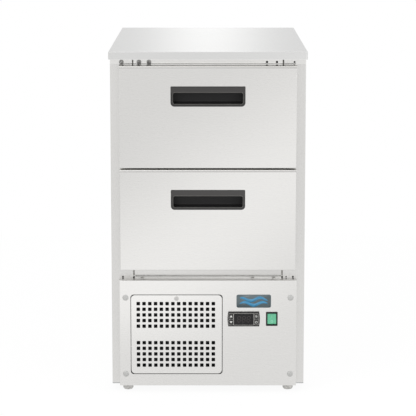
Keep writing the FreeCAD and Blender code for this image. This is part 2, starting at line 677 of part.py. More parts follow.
def handle(z0):
    """Moulded pocket handle: rim, deep pocket, and a lip to pull on from behind."""
    top = z0 + FRONT_HEIGHT - HANDLE_DROP
    low = top - HANDLE_HEIGHT
    half = HANDLE_WIDTH / 2
    rim_y = FRONT_FACE_Y - HANDLE_RIM
    corners = [HANDLE_LOW_CORNER, HANDLE_LOW_CORNER, HANDLE_TOP_CORNER, HANDLE_TOP_CORNER]
    rim = prism("xz", rim_y, FRONT_FACE_Y, rectangle(-half, half, low, top), corners)
    rim = rim.makeFillet(1.0, front_edges(rim, rim_y))
    shell = prism("xz", FRONT_FACE_Y - 0.5, FRONT_FACE_Y + HANDLE_DEPTH, rectangle(*handle_cut(z0, 0.0)), 2.0)
    back = FRONT_FACE_Y + HANDLE_DEPTH - HANDLE_WALL
    lip_low = top - HANDLE_LIP_HEIGHT
    lip_back = rim_y + HANDLE_LIP_THICKNESS
    roof = top - HANDLE_LAP - HANDLE_WALL
    floor = low + HANDLE_LOW_BORDER
    section = [
        (rim_y - 1, floor),
        (back, floor + 1.5),
        (back, roof),
        (lip_back, roof),
        (lip_back, lip_low),
        (rim_y - 1, lip_low),
    ]
    radii = [0.0, 5.0, 6.0, 1.5, 0.0, 0.0]
    side = half - HANDLE_SIDE_BORDER
    r = HANDLE_MOUTH_CORNER
    around = prism("xz", rim_y - 1, back, rectangle(-side, side, floor, roof), [r, r, 0.0, 0.0])
    hollow = prism("yz", -side, side, section, radii).common(around)
    body = fused([rim, shell]).cut(hollow)
    nose = [e for e in body.Edges
            if abs(e.BoundBox.ZMin - lip_low) < 0.01 and abs(e.BoundBox.ZMax - lip_low) < 0.01
            and e.BoundBox.XLength > side]
    body = body.makeFillet(1.2, nose)
    # Webs in the upper corners of the mouth join the lip to the side walls.
    y0 = rim_y + 1.2
    y1 = lip_back - 1.2
    web = prism("xz", y0, y1, rectangle(side - r, side + 0.5, lip_low - r, lip_low + 0.5))
    web = web.cut(rod_y(side - r, y0 - 1, y1 + 1, lip_low - r, r))
    return fused([body, web, mirrored(web)])


def pan_carrier(ledge_z):
    """Two ledged arms, joined by a front plate on the drawer front and a bar at the rear."""
    t = CARRIER_SHEET
    low = ledge_z - t - RUNNER_CLEARANCE - RUNNER_HEIGHT - CARRIER_REACH
    path = [(ARM_INNER, low), (ARM_INNER, ledge_z), (INNER_HALF - LEDGE_CLEARANCE, ledge_z)]
    arm = folded("xz", PLUG_Y, CARRIER_BACK, path, -t)
    front = box(-ARM_INNER - t / 2, ARM_INNER + t / 2, PLUG_Y, PLUG_Y + t, low, ledge_z - 2 * t)
    rear = box(-ARM_INNER - t / 2, ARM_INNER + t / 2, CARRIER_BACK - t, CARRIER_BACK, low + 10, ledge_z - 2 * t)
    return fused([arm, mirrored(arm), front, rear])


def runner_spot(ledge_z):
    """Middle height of the runners that carry a ledge."""
    return ledge_z - CARRIER_SHEET - RUNNER_CLEARANCE - RUNNER_HEIGHT / 2


def channel(w0, w1, half_height, opens_out, middle_z):
    """Runner member on the right wall. w counts inwards from the wall; the web is at w0."""
    t = RUNNER_SHEET
    x_web = INNER_HALF - w0
    x_tip = INNER_HALF - w1
    z0 = middle_z - half_height
    z1 = middle_z + half_height
    path = [(x_tip, z0), (x_web, z0), (x_web, z1), (x_tip, z1)]
    thick = -t if opens_out else t
    return folded("xz", RUNNER_Y, RUNNER_Y + RUNNER_LENGTH, path, thick, 0.3)


def ball_rows(w0, w1, inner, outer, middle_z):
    """The two rows of balls in their cages, as bars on a member's flanges."""
    y0 = RUNNER_Y
    y1 = RUNNER_Y + RUNNER_LENGTH
    x0 = INNER_HALF - w1
    x1 = INNER_HALF - w0
    upper = box(x0, x1, y0, y1, middle_z + inner, middle_z + outer)
    lower = box(x0, x1, y0, y1, middle_z - outer, middle_z - inner)
    return [upper, lower]


RUNNER_LIP_W = RUNNER_WIDTH - 1.5
MIDDLE_HALF = RUNNER_HEIGHT / 2 - RUNNER_SHEET - RUNNER_RACE
INNER_MEMBER_HALF = MIDDLE_HALF - RUNNER_SHEET - RUNNER_RACE
MIDDLE_WEB_W = RUNNER_WIDTH / 2 - RUNNER_SHEET
MIDDLE_TIP_W = RUNNER_LIP_W - RUNNER_SHEET - FIT


def runner_outer(middle_z):
    """Wall member, with lips that keep the middle member in."""
    half = RUNNER_HEIGHT / 2
    t = RUNNER_SHEET
    body = channel(0.0, RUNNER_LIP_W, half, False, middle_z)
    x0 = INNER_HALF - RUNNER_LIP_W
    y1 = RUNNER_Y + RUNNER_LENGTH
    lips = []
    for z0, z1 in ((half - t - 2.0, half - t / 2), (t / 2 - half, t + 2.0 - half)):
        lips.append(box(x0, x0 + t, RUNNER_Y, y1, middle_z + z0, middle_z + z1))
    return fused([body] + lips)


def runner_middle(middle_z):
    web = MIDDLE_WEB_W
    t = RUNNER_SHEET
    body = channel(web, MIDDLE_TIP_W, MIDDLE_HALF, False, middle_z)
    rows = ball_rows(web, MIDDLE_TIP_W - t, MIDDLE_HALF - 0.2, MIDDLE_HALF + RUNNER_RACE - FIT, middle_z)
    return fused([body] + rows)


def runner_inner(middle_z):
    t = RUNNER_SHEET
    body = channel(RUNNER_WIDTH, MIDDLE_WEB_W + t + FIT, INNER_MEMBER_HALF, True, middle_z)
    low_w = MIDDLE_WEB_W + t + FIT
    rows = ball_rows(low_w, low_w + 2.4, INNER_MEMBER_HALF - 0.2, INNER_MEMBER_HALF + RUNNER_RACE - FIT, middle_z)
    return fused([body] + rows)


def both_sides(shape):
    return Part.makeCompound([shape, mirrored(shape)])


def lower_front_panel():
    """Box-folded cover of the machine compartment, with screw spacers and the flap's hinge ears."""
    t = SHEET
    cover = box(-PANEL_HALF, PANEL_HALF, PANEL_FACE, FRAME_Y, PANEL_Z0, PANEL_Z1)
    cover = cover.makeFillet(PANEL_EDGE, front_edges(cover, PANEL_FACE))
    cover = cover.cut(box(t - PANEL_HALF, PANEL_HALF - t, PANEL_FACE + t, FRAME_Y + 1,
                          PANEL_Z0 + t, PANEL_Z1 - t))
    upstand = box(-RAIL_HALF, RAIL_HALF, FRAME_Y - t, FRAME_Y, PANEL_Z1 - t / 2, CEILING_Z - FIT)
    adds = [cover, upstand]
    cuts = []
    for x, z in CAP_SPOTS:
        adds.append(rod_y(x, PANEL_FACE + t / 2, FRAME_Y, z, SPACER_RADIUS))
        cuts.append(rod_y(x, PANEL_FACE - 1, FRAME_Y + 1, z, SCREW_RADIUS + 0.1))
    g = FLAP_GAP
    flap_room = rectangle(FLAP_X0 - g, FLAP_X1 + g, FLAP_Z0 - g, FLAP_Z1 + g)
    cuts.append(prism("xz", PANEL_FACE - 1, PANEL_FACE + t + 0.2, flap_room, FLAP_ROOM_CORNER))
    width, height, depth = CONTROLLER_BODY
    cuts.append(box(CONTROLLER_X - width / 2 - FIT, CONTROLLER_X + width / 2 + FIT, PANEL_FACE - 1,
                    PANEL_FACE + 2 * t, CONTROL_Z - height / 2 - FIT, CONTROL_Z + height / 2 + FIT))
    switch_half = SWITCH_WIDTH / 2 - 1.5
    switch_high = SWITCH_HEIGHT / 2 - 1.5
    cuts.append(box(SWITCH_X - switch_half - FIT, SWITCH_X + switch_half + FIT, PANEL_FACE - 1,
                    PANEL_FACE + 2 * t, CONTROL_Z - switch_high - FIT, CONTROL_Z + switch_high + FIT))
    tab_y = PANEL_FACE + FLAP_SHEET + FIT
    for x in FLANGE_SCREW_X:
        cuts.append(rod_z(x, FLANGE_SCREW_Y, PANEL_Z1 - 2 * t, PANEL_Z1 + 1, FLANGE_SCREW_RADIUS + 0.1))
    above = FLAP_Z1 + g
    tab = prism("yz", FLAP_X - 10, FLAP_X + 10, [
        (tab_y, FLAP_SCREW_Z - 8),
        (tab_y + t, FLAP_SCREW_Z - 8),
        (tab_y + t, above + 9),
        (PANEL_FACE + t / 2, above + 9),
        (PANEL_FACE + t / 2, above + 0.5),
        (tab_y, above + 0.5),
    ])
    adds.append(tab)
    cuts.append(rod_y(FLAP_X, tab_y - 1, tab_y + 2 * t, FLAP_SCREW_Z, FLAP_SCREW_RADIUS + 0.4))
    for side in (-1, 1):
        x0 = FLAP_X + side * KNUCKLE_SPREAD - KNUCKLE_LENGTH / 2 - FIT - HINGE_EAR
        y, z = FLAP_AXIS_Y, FLAP_AXIS_Z
        leg_y = y + KNUCKLE_RADIUS + 6.0
        adds.append(prism("yz", x0, x0 + HINGE_EAR, [
            (y - 2, z - 2),
            (leg_y, z - 2),
            (leg_y, PANEL_Z0 + t / 2),
            (leg_y + 6, PANEL_Z0 + t / 2),
            (leg_y + 6, z + 2),
            (y - 2, z + 2),
        ], [1.5, 0.0, 0.0, 0.0, 2.0, 1.5]))
        pin_end = x0 + HINGE_EAR + KNUCKLE_LENGTH + 2 * FIT
        adds.append(rod(V(x0 + HINGE_EAR / 2, y, z), V(pin_end, y, z), HINGE_PIN))
    return fused(adds).cut(fused(cuts))


def panel_screws():
    """Four long screws under the caps, and three pan heads on the panel's top flange."""
    screws = []
    for x, z in CAP_SPOTS:
        shank = rod_y(x, PANEL_FACE - 0.5, FRAME_Y + 8, z, SCREW_RADIUS)
        head = rod_y(x, PANEL_FACE - SCREW_HEAD_HEIGHT, PANEL_FACE, z, SCREW_HEAD)
        screws.append(fused([shank, head]))
    for x in FLANGE_SCREW_X:
        shank = rod_z(x, FLANGE_SCREW_Y, PANEL_Z1 - 8, PANEL_Z1 + 0.5, FLANGE_SCREW_RADIUS)
        head = rod_z(x, FLANGE_SCREW_Y, PANEL_Z1, PANEL_Z1 + 2.2, FLANGE_SCREW_HEAD)
        head = head.makeChamfer(0.8, [e for e in head.Edges if e.BoundBox.ZMin > PANEL_Z1 + 2.1])
        screws.append(fused([shank, head]))
    return Part.makeCompound(screws)


def panel_screw_caps():
    """Domed plastic caps that snap over the panel's screw heads."""
    r = CAP_RADIUS
    h = CAP_HEIGHT
    profile = [(0, 0), (r, 0), (r * 0.97, h * 0.25), (r * 0.82, h * 0.6), (r * 0.55, h * 0.86), (r * 0.25, h), (0, h)]
    dome = turned(profile).cut(Part.makeCylinder(SCREW_HEAD + FIT, SCREW_HEAD_HEIGHT + FIT))
    dome.rotate(V(0, 0, 0), V(1, 0, 0), 90)
    caps = []
    for x, z in CAP_SPOTS:
        cap = dome.copy()
        cap.translate(V(x, PANEL_FACE, z))
        caps.append(cap)
    return Part.makeCompound(caps)


def vent_spots():
    """Centres of the square holes: two blocks of rows, one under the top edge and one at the bottom."""
    room = FLAP_X1 - FLAP_X0 - 2 * VENT_SIDE_MARGIN
    columns = int(room / VENT_PITCH_X) + 1
    first = FLAP_X - (columns - 1) * VENT_PITCH_X / 2
    spots = []
    for i in range(columns):
        for k in range(VENT_ROWS):
            spots.append((first + i * VENT_PITCH_X, FLAP_Z1 - VENT_END_MARGIN - k * VENT_PITCH_Z))
            spots.append((first + i * VENT_PITCH_X, FLAP_Z0 + VENT_END_MARGIN + k * VENT_PITCH_Z))
    return spots


def grille_flap():
    """Perforated flap in one sheet, with two knuckles behind its lower edge."""
    y0 = PANEL_FACE
    y1 = PANEL_FACE + FLAP_SHEET
    border = outline("xz", y0, rectangle(FLAP_X0, FLAP_X1, FLAP_Z0, FLAP_Z1), FLAP_CORNER)
    h = VENT_HOLE / 2
    wires = [outline("xz", y0, rectangle(x - h, x + h, z - h, z + h)) for x, z in vent_spots()]
    sheet = Part.Face([border] + wires, "Part::FaceMakerBullseye").extrude(V(0, FLAP_SHEET, 0))
    sheet = sheet.cut(rod_y(FLAP_X, y0 - 1, y1 + 1, FLAP_SCREW_Z, FLAP_SCREW_RADIUS + 0.1))
    knuckles = []
    bores = []
    for side in (-1, 1):
        x0 = FLAP_X + side * KNUCKLE_SPREAD - KNUCKLE_LENGTH / 2
        start = V(x0, FLAP_AXIS_Y, FLAP_AXIS_Z)
        end = V(x0 + KNUCKLE_LENGTH, FLAP_AXIS_Y, FLAP_AXIS_Z)
        knuckles.append(rod(start, end, KNUCKLE_RADIUS))
        bores.append(rod(start - V(1, 0, 0), end + V(1, 0, 0), HINGE_PIN + HINGE_PLAY))
    return fused([sheet] + knuckles).cut(fused(bores))


def flap_screw():
    head = rod_y(FLAP_X, PANEL_FACE - FLAP_SCREW_HEIGHT, PANEL_FACE, FLAP_SCREW_Z, FLAP_SCREW_HEAD)
    head = head.makeFillet(0.8, front_edges(head, PANEL_FACE - FLAP_SCREW_HEIGHT))
    shank_end = PANEL_FACE + FLAP_SHEET + FLAP_SCREW_REACH
    shank = rod_y(FLAP_X, PANEL_FACE - 0.5, shank_end, FLAP_SCREW_Z, FLAP_SCREW_RADIUS)
    slot_y = PANEL_FACE - FLAP_SCREW_HEIGHT
    slots = [
        box(FLAP_X - 3, FLAP_X + 3, slot_y - 1, slot_y + 0.9, FLAP_SCREW_Z - 0.6, FLAP_SCREW_Z + 0.6),
        box(FLAP_X - 0.6, FLAP_X + 0.6, slot_y - 1, slot_y + 0.9, FLAP_SCREW_Z - 3, FLAP_SCREW_Z + 3),
    ]
    return fused([head, shank]).cut(fused(slots))


def controller_face(y0, y1):
    """Front of the controller: straight top and bottom, ends that bulge a little."""
    half = CONTROLLER_WIDTH / 2 - CONTROLLER_BULGE
    tip = CONTROLLER_WIDTH / 2
    low = CONTROL_Z - CONTROLLER_HEIGHT / 2
    high = CONTROL_Z + CONTROLLER_HEIGHT / 2
    x = CONTROLLER_X
    edges = [
        Part.LineSegment(V(x - half, y0, low), V(x + half, y0, low)).toShape(),
        Part.Arc(V(x + half, y0, low), V(x + tip, y0, CONTROL_Z), V(x + half, y0, high)).toShape(),
        Part.LineSegment(V(x + half, y0, high), V(x - half, y0, high)).toShape(),
        Part.Arc(V(x - half, y0, high), V(x - tip, y0, CONTROL_Z), V(x - half, y0, low)).toShape(),
    ]
    face = Part.Face(Part.Wire(edges))
    return face.extrude(V(0, y1 - y0, 0))


def key_spots():
    return {
        "key_upper_left": (CONTROLLER_X - KEY_OFFSET_X, CONTROL_Z + KEY_OFFSET_Z),
        "key_lower_left": (CONTROLLER_X - KEY_OFFSET_X, CONTROL_Z - KEY_OFFSET_Z),
        "key_upper_right": (CONTROLLER_X + KEY_OFFSET_X, CONTROL_Z + KEY_OFFSET_Z),
        "key_lower_right": (CONTROLLER_X + KEY_OFFSET_X, CONTROL_Z - KEY_OFFSET_Z),
    }


def key_rectangle(x, z, play):
    half = KEY_WIDTH / 2 + play
    high = KEY_HEIGHT / 2 + play
    return rectangle(x - half, x + half, z - high, z + high)


def controller_housing():
    face = controller_face(CONTROLLER_FACE, PANEL_FACE)
    face = face.makeFillet(1.0, front_edges(face, CONTROLLER_FACE))
    width, height, depth = CONTROLLER_BODY
    body = box(CONTROLLER_X - width / 2, CONTROLLER_X + width / 2, PANEL_FACE - 0.5, PANEL_FACE + depth,
               CONTROL_Z - height / 2, CONTROL_Z + height / 2)
    half = WINDOW_WIDTH / 2 + 0.1
    high = WINDOW_HEIGHT / 2 + 0.1
    window = rectangle(CONTROLLER_X - half, CONTROLLER_X + half, CONTROL_Z - high, CONTROL_Z + high)
    cuts = [prism("xz", CONTROLLER_FACE - 1, CONTROLLER_FACE + WINDOW_THICKNESS, window, 1.5)]
    room = CONTROLLER_FACE - KEY_PROUD + KEY_THICKNESS + KEY_TRAVEL + KEY_PLAY
    for x, z in key_spots().values():
        cuts.append(prism("xz", CONTROLLER_FACE - 1, room, key_rectangle(x, z, KEY_PLAY), 1.5))
    return fused([face, body]).cut(fused(cuts))


def controller_lens():
    half = WINDOW_WIDTH / 2
    high = WINDOW_HEIGHT / 2
    window = rectangle(CONTROLLER_X - half, CONTROLLER_X + half, CONTROL_Z - high, CONTROL_Z + high)
    return prism("xz", CONTROLLER_FACE, CONTROLLER_FACE + WINDOW_THICKNESS, window, 1.4)


def controller_key(x, z):
    front = CONTROLLER_FACE - KEY_PROUD
    key = prism("xz", front, front + KEY_THICKNESS, key_rectangle(x, z, 0.0), 1.25)
    return key.makeFillet(0.4, front_edges(key, front))


def switch_bezel():
    """Frame and body of the mains switch, open where the rocker sits."""
    half = SWITCH_WIDTH / 2
    high = SWITCH_HEIGHT / 2
    rim = prism("xz", SWITCH_FACE, PANEL_FACE,
                rectangle(SWITCH_X - half, SWITCH_X + half, CONTROL_Z - high, CONTROL_Z + high), 1.5)
    rim = rim.makeFillet(0.8, front_edges(rim, SWITCH_FACE))
    body = box(SWITCH_X - half + 1.5, SWITCH_X + half - 1.5, PANEL_FACE - 0.5, PANEL_FACE + SWITCH_BODY_DEPTH,
               CONTROL_Z - high + 1.5, CONTROL_Z + high - 1.5)
    room = box(SWITCH_X - ROCKER_WIDTH / 2 - FIT, SWITCH_X + ROCKER_WIDTH / 2 + FIT, SWITCH_FACE - 1,
               SWITCH_FACE + 16, CONTROL_Z - ROCKER_REACH - FIT, CONTROL_Z + ROCKER_REACH + FIT)
    reach = ROCKER_WIDTH / 2 + FIT + 0.8
    bore = rod(V(SWITCH_X - reach, ROCKER_AXIS_Y, CONTROL_Z), V(SWITCH_X + reach, ROCKER_AXIS_Y, CONTROL_Z),
               ROCKER_PIN + HINGE_PLAY)
    return fused([rim, body]).cut(fused([room, bore]))


def switch_rocker():
    """Rocker with a shallow V face and round ends about its pivot, pressed in at the top."""
    y, z = ROCKER_AXIS_Y, CONTROL_Z
    end = ROCKER_REACH - 1.0
    front = y - math.sqrt(ROCKER_REACH ** 2 - end ** 2)
    back_y = y + 6.0
    back_z = math.sqrt(ROCKER_REACH ** 2 - 6.0 ** 2)
    edges = [
        Part.LineSegment(V(0, front, z - end), V(0, front + 1.5, z)).toShape(),
        Part.LineSegment(V(0, front + 1.5, z), V(0, front, z + end)).toShape(),
        Part.Arc(V(0, front, z + end), V(0, y, z + ROCKER_REACH), V(0, back_y, z + back_z)).toShape(),
        Part.LineSegment(V(0, back_y, z + back_z), V(0, back_y, z - back_z)).toShape(),
        Part.Arc(V(0, back_y, z - back_z), V(0, y, z - ROCKER_REACH), V(0, front, z - end)).toShape(),
    ]
    body = Part.Face(Part.Wire(edges)).extrude(V(ROCKER_WIDTH, 0, 0))
    body.translate(V(SWITCH_X - ROCKER_WIDTH / 2, 0, 0))
    reach = ROCKER_WIDTH / 2 + FIT + 0.6
    pin = rod(V(SWITCH_X - reach, y, z), V(SWITCH_X + reach, y, z), ROCKER_PIN)
    rocker = fused([body, pin])
    rocker.rotate(V(SWITCH_X, y, z), V(1, 0, 0), -ROCKER_TILT)
    return rocker


def badge_plate():
    half = BADGE_WIDTH / 2
    high = BADGE_HEIGHT / 2
    area = rectangle(BADGE_X - half, BADGE_X + half, BADGE_Z - high, BADGE_Z + high)
    plate = prism("xz", PANEL_FACE - BADGE_THICKNESS, PANEL_FACE, area, BADGE_CORNER)
    return plate.makeFillet(0.4, front_edges(plate, PANEL_FACE - BADGE_THICKNESS))


def finned_coil(x0, x1, y0, y1, z0, z1, plate_z0, plate_y1):
    """Fins on a central core, with an end plate at each end that carries the coil."""
    middle = (y0 + y1) / 2
    room = x1 - x0 - 2 * COIL_PLATE
    count = int(room / FIN_PITCH)
    first = (x0 + x1) / 2 - (count - 1) * FIN_PITCH / 2
    pieces = [box(x0, x1, middle - 5, middle + 5, z0 + 4, z1 - 4)]
    for i in range(count):
        x = first + i * FIN_PITCH
        pieces.append(box(x - FIN_SHEET / 2, x + FIN_SHEET / 2, y0, y1, z0, z1))
    pieces.append(box(x0, x0 + COIL_PLATE, y0, plate_y1, plate_z0, z1))
    pieces.append(box(x1 - COIL_PLATE, x1, y0, plate_y1, plate_z0, z1))
    return pieces


def return_bends(x, y, z_list, gap):
    """U-shaped tube ends that stand out of an end plate."""
    bends = []
    for z in z_list:
        ring = Part.makeTorus(gap / 2, PIPE_RADIUS, V(x, y, z), V(0, 1, 0))
        half_space = box(x, x + gap + 10, y - 20, y + 20, z - gap, z + gap)
        bends.append(ring.common(half_space))
    return bends


def condenser():
    y = (CONDENSER_Y0 + CONDENSER_Y1) / 2
    pieces = finned_coil(CONDENSER_X0, CONDENSER_X1, CONDENSER_Y0, CONDENSER_Y1,
                         CONDENSER_Z0, CONDENSER_Z1, BASE_TOP, CONDENSER_Y1)
    levels = [CONDENSER_Z0 + CONDENSER_HEIGHT * share for share in (0.35, 0.65)]
    return fused(pieces + return_bends(CONDENSER_X1 - 0.2, y, levels, 28.0))


def air_filter():
    """Mesh pad in a frame, clipped to the front of the condenser."""
    y1 = CONDENSER_Y0 - FIT
    y0 = y1 - FILTER_THICKNESS
    x0 = CONDENSER_X0
    frame = box(x0, CONDENSER_X1, y0, y1, CONDENSER_Z0, CONDENSER_Z1)
    dish = box(x0 + 8, CONDENSER_X1 - 8, y0 - 1, y0 + 2.5, CONDENSER_Z0 + 8, CONDENSER_Z1 - 8)
    return frame.cut(dish)


def condenser_fan_shroud():
    """Box between the condenser and the fan, with a round collar."""
    t = SHEET
    duct = box(CONDENSER_X0, CONDENSER_X1, CONDENSER_Y1, SHROUD_BACK, CONDENSER_Z0, CONDENSER_Z1)
    duct = duct.cut(box(CONDENSER_X0 + t, CONDENSER_X1 - t, CONDENSER_Y1 - 1, SHROUD_BACK - t,
                        CONDENSER_Z0 + t, CONDENSER_Z1 - t))
    collar = rod_y(FLAP_X, SHROUD_BACK - t / 2, SHROUD_BACK + 10, CONDENSER_Z, FAN_RING + t)
    opening = rod_y(FLAP_X, SHROUD_BACK - 3, SHROUD_BACK + 11, CONDENSER_Z, FAN_RING)
    return fused([duct, collar]).cut(opening)


def fan_wheel(radius, hub, depth, blades, root_chord, tip_chord, sheet):
    """Axial fan about the Y axis, centred on the origin: hub, bore and twisted blades."""
    core = rod_y(0, -depth / 2, depth / 2, 0, hub)
    pieces = [core]
    for k in range(blades):
        sections = []
        for r, chord, pitch in ((hub - 2.0, root_chord, 40.0), (radius, tip_chord, 24.0)):
            along = V(0, math.sin(math.radians(pitch)), math.cos(math.radians(pitch)))
            across = V(0, along.z, -along.y)
            corners = []
            for a, c in ((-1, -1), (1, -1), (1, 1), (-1, 1)):
                corners.append(V(r, 0, 0) + along * (a * chord / 2) + across * (c * sheet / 2))
            sections.append(Part.makePolygon(corners + corners[:1]))
        blade = Part.makeLoft(sections, True, True)
        blade.rotate(V(0, 0, 0), V(0, 1, 0), 360.0 * k / blades)
        pieces.append(blade)
    return fused(pieces).cut(rod_y(0, -depth, depth, 0, SHAFT_RADIUS + SHAFT_PLAY))


def condenser_fan_blade():
    wheel = fan_wheel(FAN_RADIUS, FAN_HUB, FAN_DEPTH, FAN_BLADES, *FAN_CHORDS, FAN_SHEET)
    wheel.translate(V(FLAP_X, SHROUD_BACK - 2.0, CONDENSER_Z))
    return wheel


def condenser_fan_motor():
    """Motor can with its shaft, on two straps across the collar."""
    strap_y = SHROUD_BACK + 10
    front = strap_y + 2.0
    can = rod_y(FLAP_X, front, front + FAN_MOTOR_LENGTH, CONDENSER_Z, FAN_MOTOR_RADIUS)
    can = can.makeChamfer(5.0, front_edges(can, front + FAN_MOTOR_LENGTH))
    shaft = rod_y(FLAP_X, SHROUD_BACK - 2.0 - FAN_DEPTH / 2, front + 1, CONDENSER_Z, SHAFT_RADIUS)
    straps = []
    for offset in (-22.0, 22.0):
        reach = math.sqrt((FAN_RING + SHEET) ** 2 - offset ** 2)
        straps.append(box(FLAP_X - reach, FLAP_X + reach, strap_y, front + 0.5,
                          CONDENSER_Z + offset - 6, CONDENSER_Z + offset + 6))
    return fused([can, shaft] + straps)


def compressor():
    """Welded can with its seam, foot plate, tube stubs and terminal box."""
    r = COMPRESSOR_RADIUS
    low = COMPRESSOR_Z0
    base = low + 3.0
    top = low + COMPRESSOR_HEIGHT
    can = turned([(0, base), (r * 0.8, base), (r, base + 16), (r, top - 30), (r * 0.6, top), (0, top)],
                 [0.0, 0.0, 0.0, 34.0, 0.0, 0.0])
    inside = r - COMPRESSOR_SHELL
    hollow = turned([(0, base + COMPRESSOR_SHELL), (inside, base + 2 * COMPRESSOR_SHELL), (inside, top - 42),
                     (inside * 0.6, top - COMPRESSOR_SHELL), (0, top - COMPRESSOR_SHELL)])
    seam_z = low + COMPRESSOR_HEIGHT * 0.58
    seam = Part.makeCylinder(r + 2.5, 5.0, V(0, 0, seam_z))
    wide, deep = FOOT_PLATE_HALF
    foot_plate = prism("xy", low, low + 4.0, rectangle(-wide, wide, -deep, deep), 14.0)
    discharge = rod_z(35, 0, top - 30, top + 12, PIPE_RADIUS + 1)
    suction = rod_y(0, r - 10, r + 8, low + SUCTION_RAISE, PIPE_RADIUS + 1)
    body = fused([can, seam, foot_plate, discharge, suction]).cut(hollow)
    body.translate(V(COMPRESSOR_X, COMPRESSOR_Y, 0))
    body = body.cut(fused([rod_z(x, y, low - 1, low + 5, MOUNT_STUD + 0.5) for x, y in mount_spots()]))
    return Part.makeCompound([body, terminal_box()])


def mount_spots():
    wide, deep = MOUNT_SPREAD
    return [(COMPRESSOR_X + x, COMPRESSOR_Y + y) for x in (-wide, wide) for y in (-deep, deep)]


def compressor_mounts():
    """Rubber mounts with their studs, between the base and the compressor's foot plate."""
    mounts = []
    for x, y in mount_spots():
        block = rod_z(x, y, BASE_TOP, COMPRESSOR_Z0, MOUNT_RADIUS)
        stud = rod_z(x, y, COMPRESSOR_Z0 - 1, COMPRESSOR_Z0 + 10, MOUNT_STUD)
        mounts.append(fused([block, stud]))
    return Part.makeCompound(mounts)


def terminal_box():
    reach = COMPRESSOR_RADIUS
    z0 = COMPRESSOR_Z0 + TERMINAL_RAISE
    block = box(COMPRESSOR_X + reach - 12, COMPRESSOR_X + reach + 30, COMPRESSOR_Y - 26, COMPRESSOR_Y + 26,
                z0, z0 + TERMINAL_HEIGHT)
    block = block.makeFillet(4.0, [e for e in block.Edges if e.BoundBox.XMin > COMPRESSOR_X + reach + 29])
    return block.cut(rod_z(COMPRESSOR_X, COMPRESSOR_Y, z0 - 1, z0 + TERMINAL_HEIGHT + 1, reach))


def bent_tube(points, radius):
    """Round tube along straight runs joined by arcs."""
    corners = [V(*p) for p in points]
    pieces = []
    start = corners[0]
    for before, corner, after in zip(corners, corners[1:], corners[2:]):
        back = unit(before - corner)
        ahead = unit(after - corner)
        angle = back.getAngle(ahead)
        reach = PIPE_BEND / math.tan(angle / 2)
        centre = corner + unit(back + ahead) * (PIPE_BEND / math.sin(angle / 2))
        first = corner + back * reach
        section = Part.Face(Part.Wire(Part.makeCircle(radius, first, back)))
        pieces.append(rod(start, first, radius))
        pieces.append(section.revolve(centre, ahead.cross(back), 180 - math.degrees(angle)))
        start = corner + ahead * reach
    pieces.append(rod(start, corners[-1], radius))
    return pieces[0].multiFuse(pieces[1:])


def refrigerant_pipes():
    """Discharge line, liquid line with its drier, and suction line."""
    coil_y = (CONDENSER_Y0 + CONDENSER_Y1) / 2
    side = CONDENSER_X1 + 20
    top = CONDENSER_Z1 + 15
    start_x = COMPRESSOR_X + 35
    stub = COMPRESSOR_Z0 + COMPRESSOR_HEIGHT + 12
    discharge = bent_tube([
        (start_x, COMPRESSOR_Y, stub),
        (start_x, COMPRESSOR_Y, stub + 15),
        (side, COMPRESSOR_Y, stub + 15),
        (side, coil_y, stub + 15),
        (side, coil_y, CONDENSER_Z1 - 20),
        (CONDENSER_X1, coil_y, CONDENSER_Z1 - 20),
    ], PIPE_RADIUS)
    low = CONDENSER_Z0 + 18
    drier_x = CONDENSER_X1 + 36
    drier_y = SHROUD_BACK + 70
    liquid = bent_tube([
        (CONDENSER_X1, coil_y, low),
        (drier_x, coil_y, low),
        (drier_x, drier_y, low),
    ], PIPE_RADIUS)
    drier = rod_y(drier_x, drier_y, drier_y + DRIER_LENGTH, low, DRIER_RADIUS)
    ends = front_edges(drier, drier_y) + front_edges(drier, drier_y + DRIER_LENGTH)
    drier = drier.makeChamfer(DRIER_RADIUS / 2, ends)
    riser_z = EVAPORATOR_Z0 + 30
    capillary = bent_tube([
        (drier_x, drier_y + DRIER_LENGTH, low),
        (drier_x, drier_y + DRIER_LENGTH + 30, low),
        (RISER_X - 6, drier_y + DRIER_LENGTH + 30, low),
        (RISER_X - 6, RISER_Y, low),
        (RISER_X - 6, RISER_Y, riser_z),
        (EVAPORATOR_HALF, RISER_Y, riser_z),
    ], PIPE_RADIUS)
    suction_z = COMPRESSOR_Z0 + SUCTION_RAISE
    suction = bent_tube([
        (COMPRESSOR_X, COMPRESSOR_Y + COMPRESSOR_RADIUS + 8, suction_z),
        (COMPRESSOR_X, COMPRESSOR_Y + COMPRESSOR_RADIUS + 45, suction_z),
        (RISER_X + 5, COMPRESSOR_Y + COMPRESSOR_RADIUS + 45, suction_z),
        (RISER_X + 5, RISER_Y, suction_z),
        (RISER_X + 5, RISER_Y, riser_z + 60),
        (EVAPORATOR_HALF, RISER_Y, riser_z + 60),
    ], PIPE_RADIUS)
    return Part.makeCompound([discharge, fused([liquid, drier, capillary]), suction])


def drip_tray():
    """Open tray under the drain, where the melt water dries off."""
    x0 = DRAIN_X - TRAY_REACH
    x1 = x0 + TRAY_WIDTH
    y0 = REAR_PANEL_Y - TRAY_SETBACK - TRAY_LENGTH
    y1 = REAR_PANEL_Y - TRAY_SETBACK
    t = TRAY_WALL
    tray = prism("xy", BASE_TOP, BASE_TOP + TRAY_HEIGHT, rectangle(x0, x1, y0, y1), 8.0)
    room = rectangle(x0 + t, x1 - t, y0 + t, y1 - t)
    return tray.cut(prism("xy", BASE_TOP + t, BASE_TOP + TRAY_HEIGHT + 1, room, 8.0 - t))


